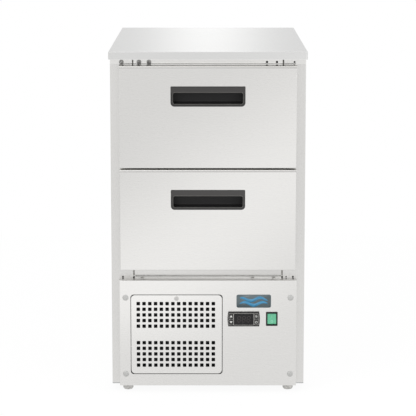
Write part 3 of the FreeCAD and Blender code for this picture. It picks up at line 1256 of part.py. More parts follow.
def rear_grille():
    """Rear cover of the machine compartment, with two rows of pressed louvres."""
    half = CABINET_HALF - 6.0
    y0 = CABINET_BACK
    y1 = CABINET_BACK + SHEET
    z0 = FOOT_HEIGHT + 2.0
    z1 = CEILING_Z + 14.0
    sheet = box(-half, half, y0, y1, z0, z1)
    slots = []
    hoods = []
    for k in range(LOUVRES):
        z = z1 - 40.0 - k * LOUVRE_PITCH
        for x in (-half + 25.0, half - 25.0 - LOUVRE_LENGTH):
            slots.append(box(x, x + LOUVRE_LENGTH, y0 - 1, y1 + 1, z - 5.0, z))
            hoods.append(prism("yz", x - 1, x + LOUVRE_LENGTH + 1, [
                (y1 - 0.2, z + 1.0),
                (y1 + 4.5, z - 5.0),
                (y1 + 4.5, z - 6.0),
                (y1 + 3.8, z - 6.0),
                (y1 - 0.2, z - 0.5),
            ]))
    gland_hole = rod_y(gland_x(), y0 - 1, y1 + 1, gland_z(), GLAND_RADIUS - 3.0)
    return fused([sheet.cut(slots + [gland_hole])] + hoods)


def gland_x():
    return -CABINET_HALF + 18.0 + GLAND_RADIUS


def gland_z():
    return FOOT_HEIGHT + 24.0


def cable_gland():
    """Gland of the mains cable, empty because the photograph shows no cable."""
    y1 = CABINET_BACK + SHEET
    flange = rod_y(gland_x(), y1, y1 + 3.0, gland_z(), GLAND_RADIUS)
    neck = rod_y(gland_x(), y1 - 8.0, y1 + 9.0, gland_z(), GLAND_RADIUS - 3.1)
    return fused([flange, neck]).cut(rod_y(gland_x(), y1 - 9.0, y1 + 10.0, gland_z(), GLAND_BORE))


def evaporator():
    pieces = finned_coil(-EVAPORATOR_HALF, EVAPORATOR_HALF, EVAPORATOR_Y0, EVAPORATOR_Y1,
                         EVAPORATOR_Z0, EVAPORATOR_Z1, EVAPORATOR_Z0, LINER_BACK)
    return fused(pieces)


def evaporator_fan_motor():
    back = LINER_BACK
    half = COOLER_MOTOR_PLATE
    plate = box(-half, half, back - 3.0, back, COOLER_FAN_Z - half, COOLER_FAN_Z + half)
    can = rod_y(0, back - 3.0 - COOLER_MOTOR_LENGTH, back - 2.0, COOLER_FAN_Z, COOLER_MOTOR_RADIUS)
    can = can.makeChamfer(3.0, front_edges(can, back - 3.0 - COOLER_MOTOR_LENGTH))
    shaft = rod_y(0, back - 16.0 - COOLER_MOTOR_LENGTH, back - 4.0, COOLER_FAN_Z, SHAFT_RADIUS)
    return fused([plate, can, shaft])


def evaporator_fan_blade():
    wheel = fan_wheel(COOLER_FAN_RADIUS, COOLER_FAN_HUB, COOLER_FAN_DEPTH, FAN_BLADES, *COOLER_FAN_CHORDS,
                      COOLER_FAN_SHEET)
    wheel.translate(V(0, LINER_BACK - COOLER_MOTOR_LENGTH - 10.5, COOLER_FAN_Z))
    return wheel


def evaporator_cover():
    """Sheet in front of the evaporator, with the fan's opening and the return-air slots."""
    half = INNER_HALF - FIT
    z0 = CELL_FLOOR + 6.0
    z1 = CELL_TOP - FIT
    path = [(-half, LINER_BACK - 7.0), (-half, COVER_Y), (half, COVER_Y), (half, LINER_BACK - 7.0)]
    cover = folded("xy", z0, z1, path, SHEET)
    slot = COVER_SLOT_INSET
    cuts = [rod_y(0, COVER_Y - 1, COVER_Y + SHEET + 1, COOLER_FAN_Z, COOLER_FAN_RADIUS + 3.0)]
    for k in range(6):
        z = z0 + 14.0 + k * 12.0
        cuts.append(box(slot - half, half - slot, COVER_Y - 1, COVER_Y + SHEET + 1, z, z + 6.0))
    return cover.cut(cuts)


def build():
    """All sub-parts by name."""
    nodes = {}
    nodes["worktop"] = worktop()
    nodes["right_side_panel"] = right_side_panel()
    nodes["left_side_panel"] = mirrored(side_panel())
    nodes["top_rail"] = top_rail()
    nodes["lower_rail"] = lower_rail()
    nodes["mullion"] = mullion()
    nodes["inner_liner"] = inner_liner()
    walls = [nodes[name] for name in ("right_side_panel", "left_side_panel", "top_rail", "lower_rail")]
    nodes["insulation"] = insulation(walls)
    nodes["rear_panel"] = rear_panel()
    nodes["machine_ceiling"] = machine_ceiling()
    nodes["base_plate"] = base_plate()
    nodes["rear_grille"] = rear_grille()
    nodes["cable_gland"] = cable_gland()
    nodes["rail_plugs"] = rail_plugs()
    for name, (x, y) in FOOT_SPOTS.items():
        nodes[name] = foot(x, y)

    outer_members = []
    for name, opening_z in OPENING_Z.items():
        z0 = opening_z - DRAWER_LOW_LAP
        ledge_z = opening_z + OPENING_HEIGHT - LEDGE_DROP
        runner_z = runner_spot(ledge_z)
        nodes[name + "_drawer_skin"] = drawer_skin(z0)
        nodes[name + "_drawer_infill"] = drawer_infill(z0)
        nodes[name + "_drawer_gasket"] = gasket(z0)
        nodes[name + "_drawer_handle"] = handle(z0)
        nodes[name + "_pan_carrier"] = pan_carrier(ledge_z)
        nodes[name + "_runner_inner"] = both_sides(runner_inner(runner_z))
        nodes[name + "_runner_middle"] = both_sides(runner_middle(runner_z))
        outer = runner_outer(runner_z)
        outer_members += [outer, mirrored(outer)]
    nodes["runner_outer_members"] = Part.makeCompound(outer_members)

    nodes["lower_front_panel"] = lower_front_panel()
    nodes["panel_screws"] = panel_screws()
    nodes["panel_screw_caps"] = panel_screw_caps()
    nodes["grille_flap"] = grille_flap()
    nodes["flap_screw"] = flap_screw()
    nodes["controller_housing"] = controller_housing()
    nodes["controller_lens"] = controller_lens()
    for name, (x, z) in key_spots().items():
        nodes[name] = controller_key(x, z)
    nodes["switch_bezel"] = switch_bezel()
    nodes["switch_rocker"] = switch_rocker()
    nodes["badge_plate"] = badge_plate()

    nodes["air_filter"] = air_filter()
    nodes["condenser"] = condenser()
    nodes["condenser_fan_shroud"] = condenser_fan_shroud()
    nodes["condenser_fan_motor"] = condenser_fan_motor()
    nodes["condenser_fan_blade"] = condenser_fan_blade()
    nodes["compressor"] = compressor()
    nodes["compressor_mounts"] = compressor_mounts()
    nodes["refrigerant_pipes"] = refrigerant_pipes()
    nodes["drip_tray"] = drip_tray()

    nodes["evaporator"] = evaporator()
    nodes["evaporator_fan_motor"] = evaporator_fan_motor()
    nodes["evaporator_fan_blade"] = evaporator_fan_blade()
    nodes["evaporator_cover"] = evaporator_cover()
    return nodes


os.makedirs("parts", exist_ok=True)
for node, shape in build().items():
    shape.exportStep("parts/" + node + ".step")
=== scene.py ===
import json
import math

import bmesh
import bpy
from mathutils import Euler, Matrix, Vector
from mathutils.bvhtree import BVHTree


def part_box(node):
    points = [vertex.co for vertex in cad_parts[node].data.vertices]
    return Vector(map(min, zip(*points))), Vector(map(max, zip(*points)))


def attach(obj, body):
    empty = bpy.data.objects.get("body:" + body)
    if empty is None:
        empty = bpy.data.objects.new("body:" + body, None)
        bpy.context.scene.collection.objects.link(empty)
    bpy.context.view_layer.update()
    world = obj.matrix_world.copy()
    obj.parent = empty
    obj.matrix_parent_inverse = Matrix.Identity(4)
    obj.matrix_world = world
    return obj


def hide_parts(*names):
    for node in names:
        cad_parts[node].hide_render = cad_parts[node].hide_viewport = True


bl_info = {
    "name": "Drawer counter fridge",
    "version": (1, 0, 0),
    "blender": (4, 5, 0),
    "location": "View3D > Sidebar > Fridge",
    "description": "Dresses a two-drawer steel counter fridge and sets up its studio",
    "category": "Object",
}

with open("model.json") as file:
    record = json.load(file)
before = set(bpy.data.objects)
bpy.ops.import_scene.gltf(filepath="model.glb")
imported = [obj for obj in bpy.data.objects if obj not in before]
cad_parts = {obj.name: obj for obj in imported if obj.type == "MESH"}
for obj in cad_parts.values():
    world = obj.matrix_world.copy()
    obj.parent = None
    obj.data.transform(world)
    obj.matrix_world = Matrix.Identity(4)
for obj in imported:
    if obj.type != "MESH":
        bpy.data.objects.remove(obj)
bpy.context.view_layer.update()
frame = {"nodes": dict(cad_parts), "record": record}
MM = 0.001
HOOD = 14.5 * MM    # height of a handle's hooded lip
PRINT = 0.1 * MM    # thickness of a printed sign, most of it inside what it is printed on
POLISHED = 0.12     # roughness of a fold, which the press brake polishes
BODY_OF = {node: body for body, nodes in frame["record"]["behaviour"]["bodies"].items() for node in nodes}


# Colours and nodes

def linear(code):
    """An sRGB hex colour as linear RGBA."""
    parts = [int(code[i:i + 2], 16) / 255 for i in (1, 3, 5)]
    return tuple(c / 12.92 if c <= 0.04045 else ((c + 0.055) / 1.055) ** 2.4 for c in parts) + (1.0,)


def add(tree, kind, inputs=None, **settings):
    """Add a node with its settings. An input takes a value, or a socket to link from."""
    node = tree.nodes.new(kind)
    for name, value in settings.items():
        setattr(node, name, value)
    for key, value in (inputs or {}).items():
        if isinstance(value, bpy.types.NodeSocket):
            tree.links.new(value, node.inputs[key])
        else:
            node.inputs[key].default_value = value
    return node


def pattern(tree, size_mm, detail=2.0, offset=0.0):
    """Noise whose grains measure size_mm along X, Y and Z."""
    place = add(tree, "ShaderNodeTexCoord").outputs["Object"]
    mapping = add(tree, "ShaderNodeMapping", {
        "Vector": place,
        "Location": (offset, offset * 0.7, offset * 1.3),
        "Scale": tuple(1 / (s * MM) for s in size_mm),
    })
    noise = add(tree, "ShaderNodeTexNoise", {
        "Vector": mapping.outputs[0], "Scale": 1.0, "Detail": detail, "Roughness": 0.5,
    })
    return noise.outputs["Fac"]


def spread(tree, value, low, high, from_low=0.3, from_high=0.7):
    """Stretch a pattern, most of which lies between 0.3 and 0.7, over the range low to high."""
    node = add(tree, "ShaderNodeMapRange", {
        "Value": value, "From Min": from_low, "From Max": from_high, "To Min": low, "To Max": high,
    })
    return node.outputs[0]


def tint(tree, colour, value, change):
    """The colour made lighter and darker by a share, following a pattern."""
    scale = spread(tree, value, 1 - change, 1 + change)
    node = add(tree, "ShaderNodeVectorMath", {0: colour[:3], "Scale": scale}, operation="SCALE")
    return node.outputs[0]


def past(tree, axis, level, before, after):
    """One roughness or colour up to a level in metres along an axis, and another past it.

    The axis "-Z" runs downwards.
    """
    place = add(tree, "ShaderNodeTexCoord").outputs["Object"]
    along = add(tree, "ShaderNodeSeparateXYZ", {0: place}).outputs[axis[-1]]
    operation = "LESS_THAN" if axis[0] == "-" else "GREATER_THAN"
    share = add(tree, "ShaderNodeMath", {0: along, 1: level}, operation=operation).outputs[0]
    if isinstance(after, float) or getattr(after, "type", None) == "VALUE":
        return add(tree, "ShaderNodeMix", {0: share, 2: before, 3: after}, data_type="FLOAT").outputs[0]
    return add(tree, "ShaderNodeMix", {0: share, 6: before, 7: after}, data_type="RGBA").outputs[2]


def new_material(name):
    """An empty node material and its tree."""
    material = bpy.data.materials.new(name)
    material.use_nodes = True
    material.node_tree.nodes.clear()
    return material, material.node_tree


def shaded(material, colour, roughness, relief=None, depth_mm=0.0, fixed=None):
    """Give a material its shader, with a relief depth_mm deep and any inputs that are the same all over."""
    tree = material.node_tree
    inputs = {"Base Color": colour, "Roughness": roughness, **(fixed or {})}
    if relief is not None:
        height = {"Height": relief, "Distance": depth_mm * MM, "Strength": 1.0}
        inputs["Normal"] = add(tree, "ShaderNodeBump", height).outputs[0]
    shader = add(tree, "ShaderNodeBsdfPrincipled", inputs)
    add(tree, "ShaderNodeOutputMaterial", {"Surface": shader.outputs[0]})
    return material


# Materials

def brushed_stainless(name, code, grain, roughness=0.27, painted_light_folds=(), edge_tint=1.0):
    """Stainless 304 sheet, scotch-brite finish: soft mirror with fine scratches along one axis.

    Each fold band is an axis, the level past which the finish changes, and its colour and roughness there.
    The band's colour is painted light or painted shade on a fold or strip that lies in shade.
    """
    material, tree = new_material(name)
    # The grain is 0.35 mm wide. The wider streaks are its unevenness, which still shows from two metres.
    fine = pattern(tree, [45 if axis == grain else 0.35 for axis in "xyz"])
    streak = pattern(tree, [300 if axis == grain else 6 for axis in "xyz"], offset=3.1)
    cloud = pattern(tree, (260, 260, 200), detail=0.0, offset=7.7)
    soft = add(tree, "ShaderNodeMath", {0: cloud, 1: spread(tree, streak, -0.08, 0.08)}, operation="ADD")
    colour = tint(tree, linear(code), soft.outputs[0], 0.007)
    matt = spread(tree, fine, roughness - 0.03, roughness + 0.03)
    # Each band's colour is painted light or painted shade over the steel's own colour.
    for axis, level, painted_code, fold_roughness in painted_light_folds:
        colour = past(tree, axis, level, colour, linear(painted_code))
        matt = past(tree, axis, level, matt, fold_roughness)
    return shaded(material, colour, matt, fine, 0.0006,
                  {"Metallic": 1.0, "Specular Tint": (edge_tint, edge_tint, edge_tint, 1.0)})


def galvanised_sheet(name):
    """Hot-dip galvanised sheet: dull zinc with its crystal spangle, 8 to 15 mm across."""
    material, tree = new_material(name)
    place = add(tree, "ShaderNodeTexCoord").outputs["Object"]
    mapping = add(tree, "ShaderNodeMapping", {"Vector": place, "Scale": (90, 90, 90)})
    spangle = add(tree, "ShaderNodeTexVoronoi", {
        "Vector": mapping.outputs[0], "Scale": 1.0, "Randomness": 1.0,
    })
    level = add(tree, "ShaderNodeSeparateColor", {0: spangle.outputs["Color"]}).outputs[0]
    return shaded(material, tint(tree, linear("#9EA1A3"), level, 0.07),
                  spread(tree, level, 0.36, 0.5, 0.0, 1.0),
                  pattern(tree, (1.2, 1.2, 1.2)), 0.01, {"Metallic": 0.9})


def moulded_plastic(name, code, roughness=0.35, grain_mm=0.6, depth_mm=0.006, level=0.5):
    """Injection-moulded ABS or polyamide: even colour, spark-eroded grain, faint flow clouds."""
    material, tree = new_material(name)
    cloud = pattern(tree, (28, 28, 18), detail=1.0, offset=2.0)
    grain = pattern(tree, (grain_mm,) * 3, detail=1.0)
    return shaded(material, tint(tree, linear(code), cloud, 0.05),
                  spread(tree, grain, roughness - 0.04, roughness + 0.06),
                  grain, depth_mm, {"IOR": 1.53, "Specular IOR Level": level})


def pocket_plastic(name, code, rim, dark, face, hood):
    """ABS handle: a paler hood between two heights, which is a painted highlight, a rim, and a dark matt
    pocket behind the plane face, whose darkness is painted shade.
    """
    material, tree = new_material(name)
    grain = pattern(tree, (0.7, 0.7, 0.7), detail=1.0)
    # The paler hood is a painted highlight.
    outside = past(tree, "Z", hood[0], linear(rim), linear(code))
    outside = past(tree, "Z", hood[1], outside, linear(rim))
    matt = past(tree, "Y", face, spread(tree, grain, 0.2, 0.26), spread(tree, grain, 0.6, 0.7))
    # The pocket's dark colour is painted shade.
    return shaded(material, past(tree, "Y", face, outside, linear(dark)), matt, grain, 0.004, {"IOR": 1.5})


def soft_rubber(name, code):
    """EPDM or soft PVC: dull, slightly dusty, with a fine matt skin."""
    material, tree = new_material(name)
    dust = pattern(tree, (9, 9, 9), offset=5.0)
    return shaded(material, tint(tree, linear(code), dust, 0.12), spread(tree, dust, 0.55, 0.75),
                  pattern(tree, (0.5, 0.5, 0.5)), 0.02, {"IOR": 1.5})


def rigid_foam(name, front, foot):
    """Polyurethane foam, foamed in place: pale and matt, with grey tape over its front, behind the seams,
    whose grey is partly painted shade in the seams.

    The tape is white below the foot level. Down to 40 mm behind the front, in the hinge inserts' sockets, the
    foam is near black: painted shade.
    """
    material, tree = new_material(name)
    cells = pattern(tree, (1.4, 1.4, 1.4), detail=3.0)
    colour = past(tree, "-Z", foot, linear("#AEACA8"), linear("#F4F3F0"))
    # Near black behind the front: painted shade in the hinge inserts' sockets.
    colour = past(tree, "Y", front, colour, linear("#22211F"))
    colour = past(tree, "Y", front + 40 * MM, colour, tint(tree, linear("#E6D9B4"), cells, 0.1))
    return shaded(material, colour, spread(tree, cells, 0.85, 0.95), cells, 0.25)


def plated_steel(name, code, roughness, change=0.08):
    """Zinc-plated or turned steel: grey, a little uneven where it was handled."""
    material, tree = new_material(name)
    wear = pattern(tree, (4, 4, 4), detail=3.0)
    return shaded(material, tint(tree, linear(code), wear, change),
                  spread(tree, wear, roughness - 0.08, roughness + 0.1),
                  pattern(tree, (0.8, 0.8, 0.8)), 0.006, {"Metallic": 1.0})


def coil_aluminium(name):
    """Thin aluminium fins, stamped: bright edges with a trace of oil and dust."""
    material, tree = new_material(name)
    dust = pattern(tree, (14, 14, 14), detail=3.0)
    return shaded(material, tint(tree, linear("#C4C7C9"), dust, 0.1), spread(tree, dust, 0.3, 0.5),
                  pattern(tree, (2, 2, 2)), 0.02, {"Metallic": 1.0})


def copper_tube(name):
    """Drawn copper, handled and brazed: warm metal with darker stains."""
    material, tree = new_material(name)
    stain = pattern(tree, (18, 18, 18), detail=4.0)
    return shaded(material, tint(tree, linear("#C07A52"), stain, 0.22), spread(tree, stain, 0.25, 0.45),
                  stain, 0.02, {"Metallic": 1.0})


def black_enamel(name):
    """Dip-coated black paint on a pressed can: glossy, with orange peel a few millimetres wide."""
    material, tree = new_material(name)
    peel = pattern(tree, (3, 3, 3))
    return shaded(material, tint(tree, linear("#16171A"), pattern(tree, (30, 30, 30)), 0.15),
                  spread(tree, peel, 0.22, 0.34), peel, 0.03, {"Coat Weight": 0.3})


def smoked_window(name):
    """Smoked polycarbonate over a display that is off: near black, with a clear gloss."""
    material, tree = new_material(name)
    depth = pattern(tree, (20, 20, 8), detail=1.0)
    return shaded(material, tint(tree, linear("#0B080A"), depth, 0.15), spread(tree, depth, 0.06, 0.1),
                  fixed={"IOR": 1.45, "Specular IOR Level": 0.4})


def lit_green(name, code):
    """Translucent green polycarbonate of a mains rocker with a lamp behind it: the green is the plastic's,
    and its paleness is the lamp's light painted in, with a little subsurface.
    """
    material, tree = new_material(name)
    glow = pattern(tree, (9, 9, 9), detail=1.0)
    return shaded(material, tint(tree, linear(code), glow, 0.06), spread(tree, glow, 0.18, 0.26),
                  pattern(tree, (0.7, 0.7, 0.7)), 0.004,
                  {"IOR": 1.58, "Subsurface Weight": 0.15, "Subsurface Scale": 2 * MM})


def filter_gauze(name):
    """Woven filter gauze, threads 1.6 mm apart."""
    material, tree = new_material(name)
    place = add(tree, "ShaderNodeTexCoord").outputs["Object"]
    separate = add(tree, "ShaderNodeSeparateXYZ", {0: place})
    threads = []
    for axis in ("X", "Z"):
        turn = add(tree, "ShaderNodeMath", {0: separate.outputs[axis], 1: 2 * math.pi / (1.6 * MM)},
                   operation="MULTIPLY")
        threads.append(add(tree, "ShaderNodeMath", {0: turn.outputs[0]}, operation="SINE").outputs[0])
    weave = add(tree, "ShaderNodeMath", {0: threads[0], 1: threads[1]}, operation="MAXIMUM").outputs[0]
    shade = spread(tree, weave, 0.2, 0.8, -0.2, 1.0)
    return shaded(material, tint(tree, linear("#26282B"), shade, 0.6), 0.7, weave, 0.3)


# Meshes

def new_item(name, data):
    """A new object in the scene."""
    item = bpy.data.objects.new(name, data)
    bpy.context.collection.objects.link(item)
    return item


def new_object(name, mesh, material, body):
    """A finished mesh as a piece that rides on a body."""
    piece = new_item(name, mesh)
    mesh.materials.clear()
    mesh.materials.append(material)
    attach(piece, body)
    return piece


def mesh_from(work, name, sharp=math.radians(32)):
    """A mesh from a bmesh, smooth across its curves and sharp at its edges."""
    for face in work.faces:
        face.smooth = True
    for edge in work.edges:
        edge.smooth = len(edge.link_faces) != 2 or edge.calc_face_angle() < sharp
    mesh = bpy.data.meshes.new(name)
    work.to_mesh(mesh)
    work.free()
    return mesh


def plain_mesh(holder, name):
    """The mesh that an object's modifiers make. The object itself is removed."""
    mesh = bpy.data.meshes.new_from_object(holder.evaluated_get(bpy.context.evaluated_depsgraph_get()))
    bpy.data.objects.remove(holder)
    mesh.name = name
    return mesh


def modified(name, mesh, kind, **settings):
    """The plain mesh that one modifier makes."""
    holder = new_item(name, mesh)
    modifier = holder.modifiers.new(name, kind)
    for key, value in settings.items():
        setattr(modifier, key, value)
    return plain_mesh(holder, name)


def merged_copy(node):
    """A CAD node's mesh with its double points merged."""
    source = frame["nodes"][node].data
    work = bmesh.new()
    points = [work.verts.new(v.co) for v in source.vertices]
    for polygon in source.polygons:
        work.faces.new([points[i] for i in polygon.vertices])
    bmesh.ops.remove_doubles(work, verts=work.verts, dist=0.002 * MM)
    bmesh.ops.dissolve_degenerate(work, edges=work.edges, dist=0.0005 * MM)
    return mesh_from(work, node + "_finished")


def dress(material, node):
    """Give a CAD node of flat sheets its finish."""
    data = frame["nodes"][node].data
    data.materials.clear()
    data.materials.append(material)


def refine(material, *nodes):
    """Merged copies of CAD nodes, so that their curves shade smoothly and their flats stay flat."""
    pieces = []
    for node in nodes:
        mesh = modified(node + "_finished", merged_copy(node), "WEIGHTED_NORMAL", mode="FACE_AREA",
                        keep_sharp=True)
        piece = new_object(node + "_finished", mesh, material, BODY_OF[node])
        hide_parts(node)
        pieces.append(piece)
    return pieces


def middle(low, high):
    """The x and z of a box's centre."""
    return (low.x + high.x) / 2, (low.z + high.z) / 2


def surface(node, x, z):
    """Depth y at which a ray from the front meets a CAD node at x and z."""
    mesh = frame["nodes"][node].data
    tree = BVHTree.FromPolygons([v.co for v in mesh.vertices], [p.vertices for p in mesh.polygons])
    return tree.ray_cast(Vector((x, -1.0, z)), Vector((0, 1, 0)))[0].y


def rectangle(width, height):
    """Corners of a rectangle about the origin."""
    x, z = width / 2, height / 2
    return [(-x, -z), (x, -z), (x, z), (-x, z)]


def rounded(x, z, width, height, radius, steps=5):
    """Points of a rounded rectangle about (x, z)."""
    points = []
    for sx, sz, start in ((1, -1, -90), (1, 1, 0), (-1, 1, 90), (-1, -1, 180)):
        cx = x + sx * (width / 2 - radius)
        cz = z + sz * (height / 2 - radius)
        for k in range(steps + 1):
            angle = math.radians(start + 90 * k / steps)
            points.append((cx + radius * math.cos(angle), cz + radius * math.sin(angle)))
    return points


def plate(work, outline, y, depth):
    """Closed plate in the XZ plane: an outline of (x, z) points, from y back by depth."""
    front = [work.verts.new((x, y, z)) for x, z in outline]
    back = [work.verts.new((x, y + depth, z)) for x, z in outline]
    work.faces.new(front)
    work.faces.new(back[::-1])
    count = len(outline)
    for i in range(count):
        k = (i + 1) % count
        work.faces.new((front[k], front[i], back[i], back[k]))


def ring_plate(work, outline, inner, y, depth):
    """Closed flat ring in the XZ plane between two outlines of as many points."""
    loops = [[work.verts.new((x, level, z)) for x, z in points]
             for level in (y, y + depth) for points in (outline, inner)]
    out_front, in_front, out_back, in_back = loops
    count = len(outline)
    for i in range(count):
        k = (i + 1) % count
        work.faces.new((out_front[i], out_front[k], in_front[k], in_front[i]))
        work.faces.new((out_back[k], out_back[i], in_back[i], in_back[k]))
        work.faces.new((out_front[k], out_front[i], out_back[i], out_back[k]))
        work.faces.new((in_front[i], in_front[k], in_back[k], in_back[i]))


def new_tree(name, inputs):
    """A Geometry Nodes tree with named inputs, its input sockets and its output node."""
    tree = bpy.data.node_groups.new(name, "GeometryNodeTree")
    tree.interface.new_socket("Geometry", in_out="INPUT", socket_type="NodeSocketGeometry")
    for label, kind in inputs.items():
        tree.interface.new_socket(label, in_out="INPUT", socket_type=kind)
    tree.interface.new_socket("Geometry", in_out="OUTPUT", socket_type="NodeSocketGeometry")
    start = add(tree, "NodeGroupInput")
    end = add(tree, "NodeGroupOutput")
    return tree, start.outputs, end


def apply_tree(name, tree, values, material, body):
    """A piece from a Geometry Nodes tree, run with named values on an empty mesh."""
    holder = new_item(name + "_tree", bpy.data.meshes.new(name + "_base"))
    modifier = holder.modifiers.new("build", "NODES")
    modifier.node_group = tree
    for item in tree.interface.items_tree:
        if item.item_type == "SOCKET" and item.in_out == "INPUT" and item.name in values:
            modifier[item.identifier] = values[item.name]
    return new_object(name, plain_mesh(holder, name), material, body)


# Settings

class FridgeSizes(bpy.types.PropertyGroup):
    hole: bpy.props.FloatProperty(
        name="Vent hole", description="Side of a square vent hole", default=8.0 * MM, unit="LENGTH")
    hole_corner: bpy.props.FloatProperty(
        name="Vent hole corner", description="Corner radius of a vent hole", default=1.3 * MM, unit="LENGTH")
    pitch_x: bpy.props.FloatProperty(
        name="Vent pitch across", description="Spacing of the hole columns", default=12.9 * MM, unit="LENGTH")
    pitch_z: bpy.props.FloatProperty(
        name="Vent pitch up", description="Spacing of the hole rows", default=12.9 * MM, unit="LENGTH")
    columns: bpy.props.IntProperty(name="Vent columns", description="Holes across the flap", default=14)
    rows: bpy.props.IntProperty(name="Vent rows", description="Rows in each of the two blocks", default=5)
    end_margin: bpy.props.FloatProperty(
        name="Vent end margin", description="First row's centre from the flap's edge", default=19.2 * MM,
        unit="LENGTH")
    shift: bpy.props.FloatProperty(
        name="Vent shift", description="Offset of the holes from the flap's centre", default=-1.6 * MM,
        unit="LENGTH")
    flap_corner: bpy.props.FloatProperty(
        name="Flap corner", description="Corner radius of the vent flap", default=8.3 * MM, unit="LENGTH")
    flap_sheet: bpy.props.FloatProperty(
        name="Flap sheet", description="Thickness of the vent flap", default=1.2 * MM, unit="LENGTH")


class FridgeColours(bpy.types.PropertyGroup):
    steel: bpy.props.StringProperty(name="Steel", description="Brushed casing and fronts", default="#D5D4D2")
    worktop: bpy.props.StringProperty(name="Worktop", description="Ground worktop", default="#D5D5D4")
    # The top rail's colour is lighter than the steel's: painted light in the worktop's shade.
    rails: bpy.props.StringProperty(name="Top rail", description="Rail under the top", default="#E0DFDD")
    sides: bpy.props.StringProperty(name="Sides", description="Side panels", default="#D8D7D5")
    panel: bpy.props.StringProperty(name="Panel", description="Lower front panel", default="#DAD9D7")
    flap: bpy.props.StringProperty(name="Flap", description="Vent flap", default="#DEDDDB")
    # The handle colour is the hood's, paler than the rim: a painted highlight.
    handle: bpy.props.StringProperty(name="Handle", description="Moulded pocket handles", default="#363433")
    rim: bpy.props.StringProperty(name="Handle rim", description="Rim of the handles", default="#242322")
    cap: bpy.props.StringProperty(name="Caps", description="Screw caps", default="#BEBEBC")
    controls: bpy.props.StringProperty(name="Controls", description="Controller housing", default="#171616")
    # The rocker's pale green is partly its lamp's light: painted light.
    rocker: bpy.props.StringProperty(name="Rocker", description="Mains rocker", default="#63BC94")
    badge: bpy.props.StringProperty(name="Badge", description="Badge plate", default="#5D6B70")
    # The pocket colour is painted shade inside the handles.
    pocket: bpy.props.StringProperty(name="Pocket", description="Inside of the handles", default="#151415")
    # A near-white steel colour for folds and strips in shade: painted light.
    painted_fold_light: bpy.props.StringProperty(name="Folds", description="Folded edges of sheets, lightened as painted light in shade", default="#F6F5F3")
    badge_mark: bpy.props.StringProperty(name="Badge mark", description="Wave on a badge", default="#408DB7")


# Operators

class FRIDGE_OT_casing(bpy.types.Operator):
    """Worktop, side panels, front frame, back and base"""
    bl_idname = "fridge.casing"
    bl_label = "Casing"

    def execute(self, context):
        colours = context.scene.fridge_colours
        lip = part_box("worktop")[0].z + 0.3 * MM
        # Below the lip, the worktop's underside takes the near-white fold colour: painted light in the
        # overhang's shade.
        refine(brushed_stainless("Brushed stainless, worktop", colours.worktop, "x", 0.3, edge_tint=0.86,
                                 painted_light_folds=[("-Z", lip, colours.painted_fold_light, POLISHED)]), "worktop")
        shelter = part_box("upper_drawer_skin")[1].z
        # The rail's colour is lightened, and below 2.5 mm over the drawers' top it turns near white: both
        # painted light in the worktop's shade.
        refine(brushed_stainless("Brushed stainless, top rail", colours.rails, "x", 0.2, painted_light_folds=[
            ("-Z", shelter + 2.5 * MM, colours.painted_fold_light, 0.06)]), "top_rail")
        turned_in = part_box("lower_rail")[0].y + 0.2 * MM
        # The lower rail and the mullion are darker than the fronts: painted shade in their recesses. Behind
        # their front the near-white fold colour is painted light.
        refine(brushed_stainless("Brushed stainless, across", "#C9C8C6", "x", painted_light_folds=[
            ("Y", turned_in, colours.painted_fold_light, POLISHED)]), "lower_rail", "mullion")
        # Above the drawers' top, under the worktop, the sides take the top rail's lighter colour: painted
        # light in the worktop's shade.
        side = brushed_stainless("Brushed stainless, upright", colours.sides, "z",
                                 painted_light_folds=[("Z", shelter, colours.rails, 0.2)])
        self.flag_off(refine(side, "left_side_panel", "right_side_panel"))
        zinc = galvanised_sheet("Galvanised sheet")
        dress(zinc, "rear_panel")
        refine(zinc, "machine_ceiling", "base_plate", "rear_grille")
        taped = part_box("top_rail")[0].y + 1.5 * MM
        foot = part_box("lower_rail")[0].z + 1 * MM
        dress(rigid_foam("Polyurethane foam, taped", taped, foot), "insulation")
        refine(moulded_plastic("Polyamide, black", "#1B1B1C", 0.45), "cable_gland")
        refine(plated_steel("Zinc-plated hole plugs", "#9D9C9A", 0.35), "rail_plugs")
        self.plug_centres()
        return {"FINISHED"}

    def flag_off(self, pieces):
        """Keep the slanted strip's light off some pieces, as a flag does in a studio."""
        flagged = bpy.data.collections.new("Flagged off")
        for piece in pieces:
            flagged.objects.link(piece)
        for item in flagged.collection_objects:
            item.light_linking.link_state = "EXCLUDE"
        bpy.data.objects["Slanted strip in front"].light_linking.receiver_collection = flagged

    def plug_centres(self):
        """Bright rivet in the dimple of each hole plug."""
        low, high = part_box("rail_plugs")
        size = (high.z - low.z) / 2
        level = middle(low, high)[1]
        near = 0.02 * MM
        tops = [v.co.x for v in frame["nodes"]["rail_plugs"].data.vertices if abs(v.co.z - high.z) < near]
        work = bmesh.new()
        for x in sorted({round(top, 3) for top in tops}):
            plate(work, rounded(x, level, size, size, 0.49 * size), low.y + 0.2 * MM, 0.5 * MM)
        new_object("rail_plug_rivets", mesh_from(work, "rail_plug_rivets"),
                   plated_steel("Zinc rivets", "#E4E3E1", 0.35), BODY_OF["rail_plugs"])


class FRIDGE_OT_feet(bpy.types.Operator):
    """Levelling feet"""
    bl_idname = "fridge.feet"
    bl_label = "Feet"

    def execute(self, context):
        steel = plated_steel("Turned steel, feet", "#B5B4B1", 0.3, 0.3)
        refine(steel, *[name for name in frame["nodes"] if name.startswith("foot_")])
        return {"FINISHED"}


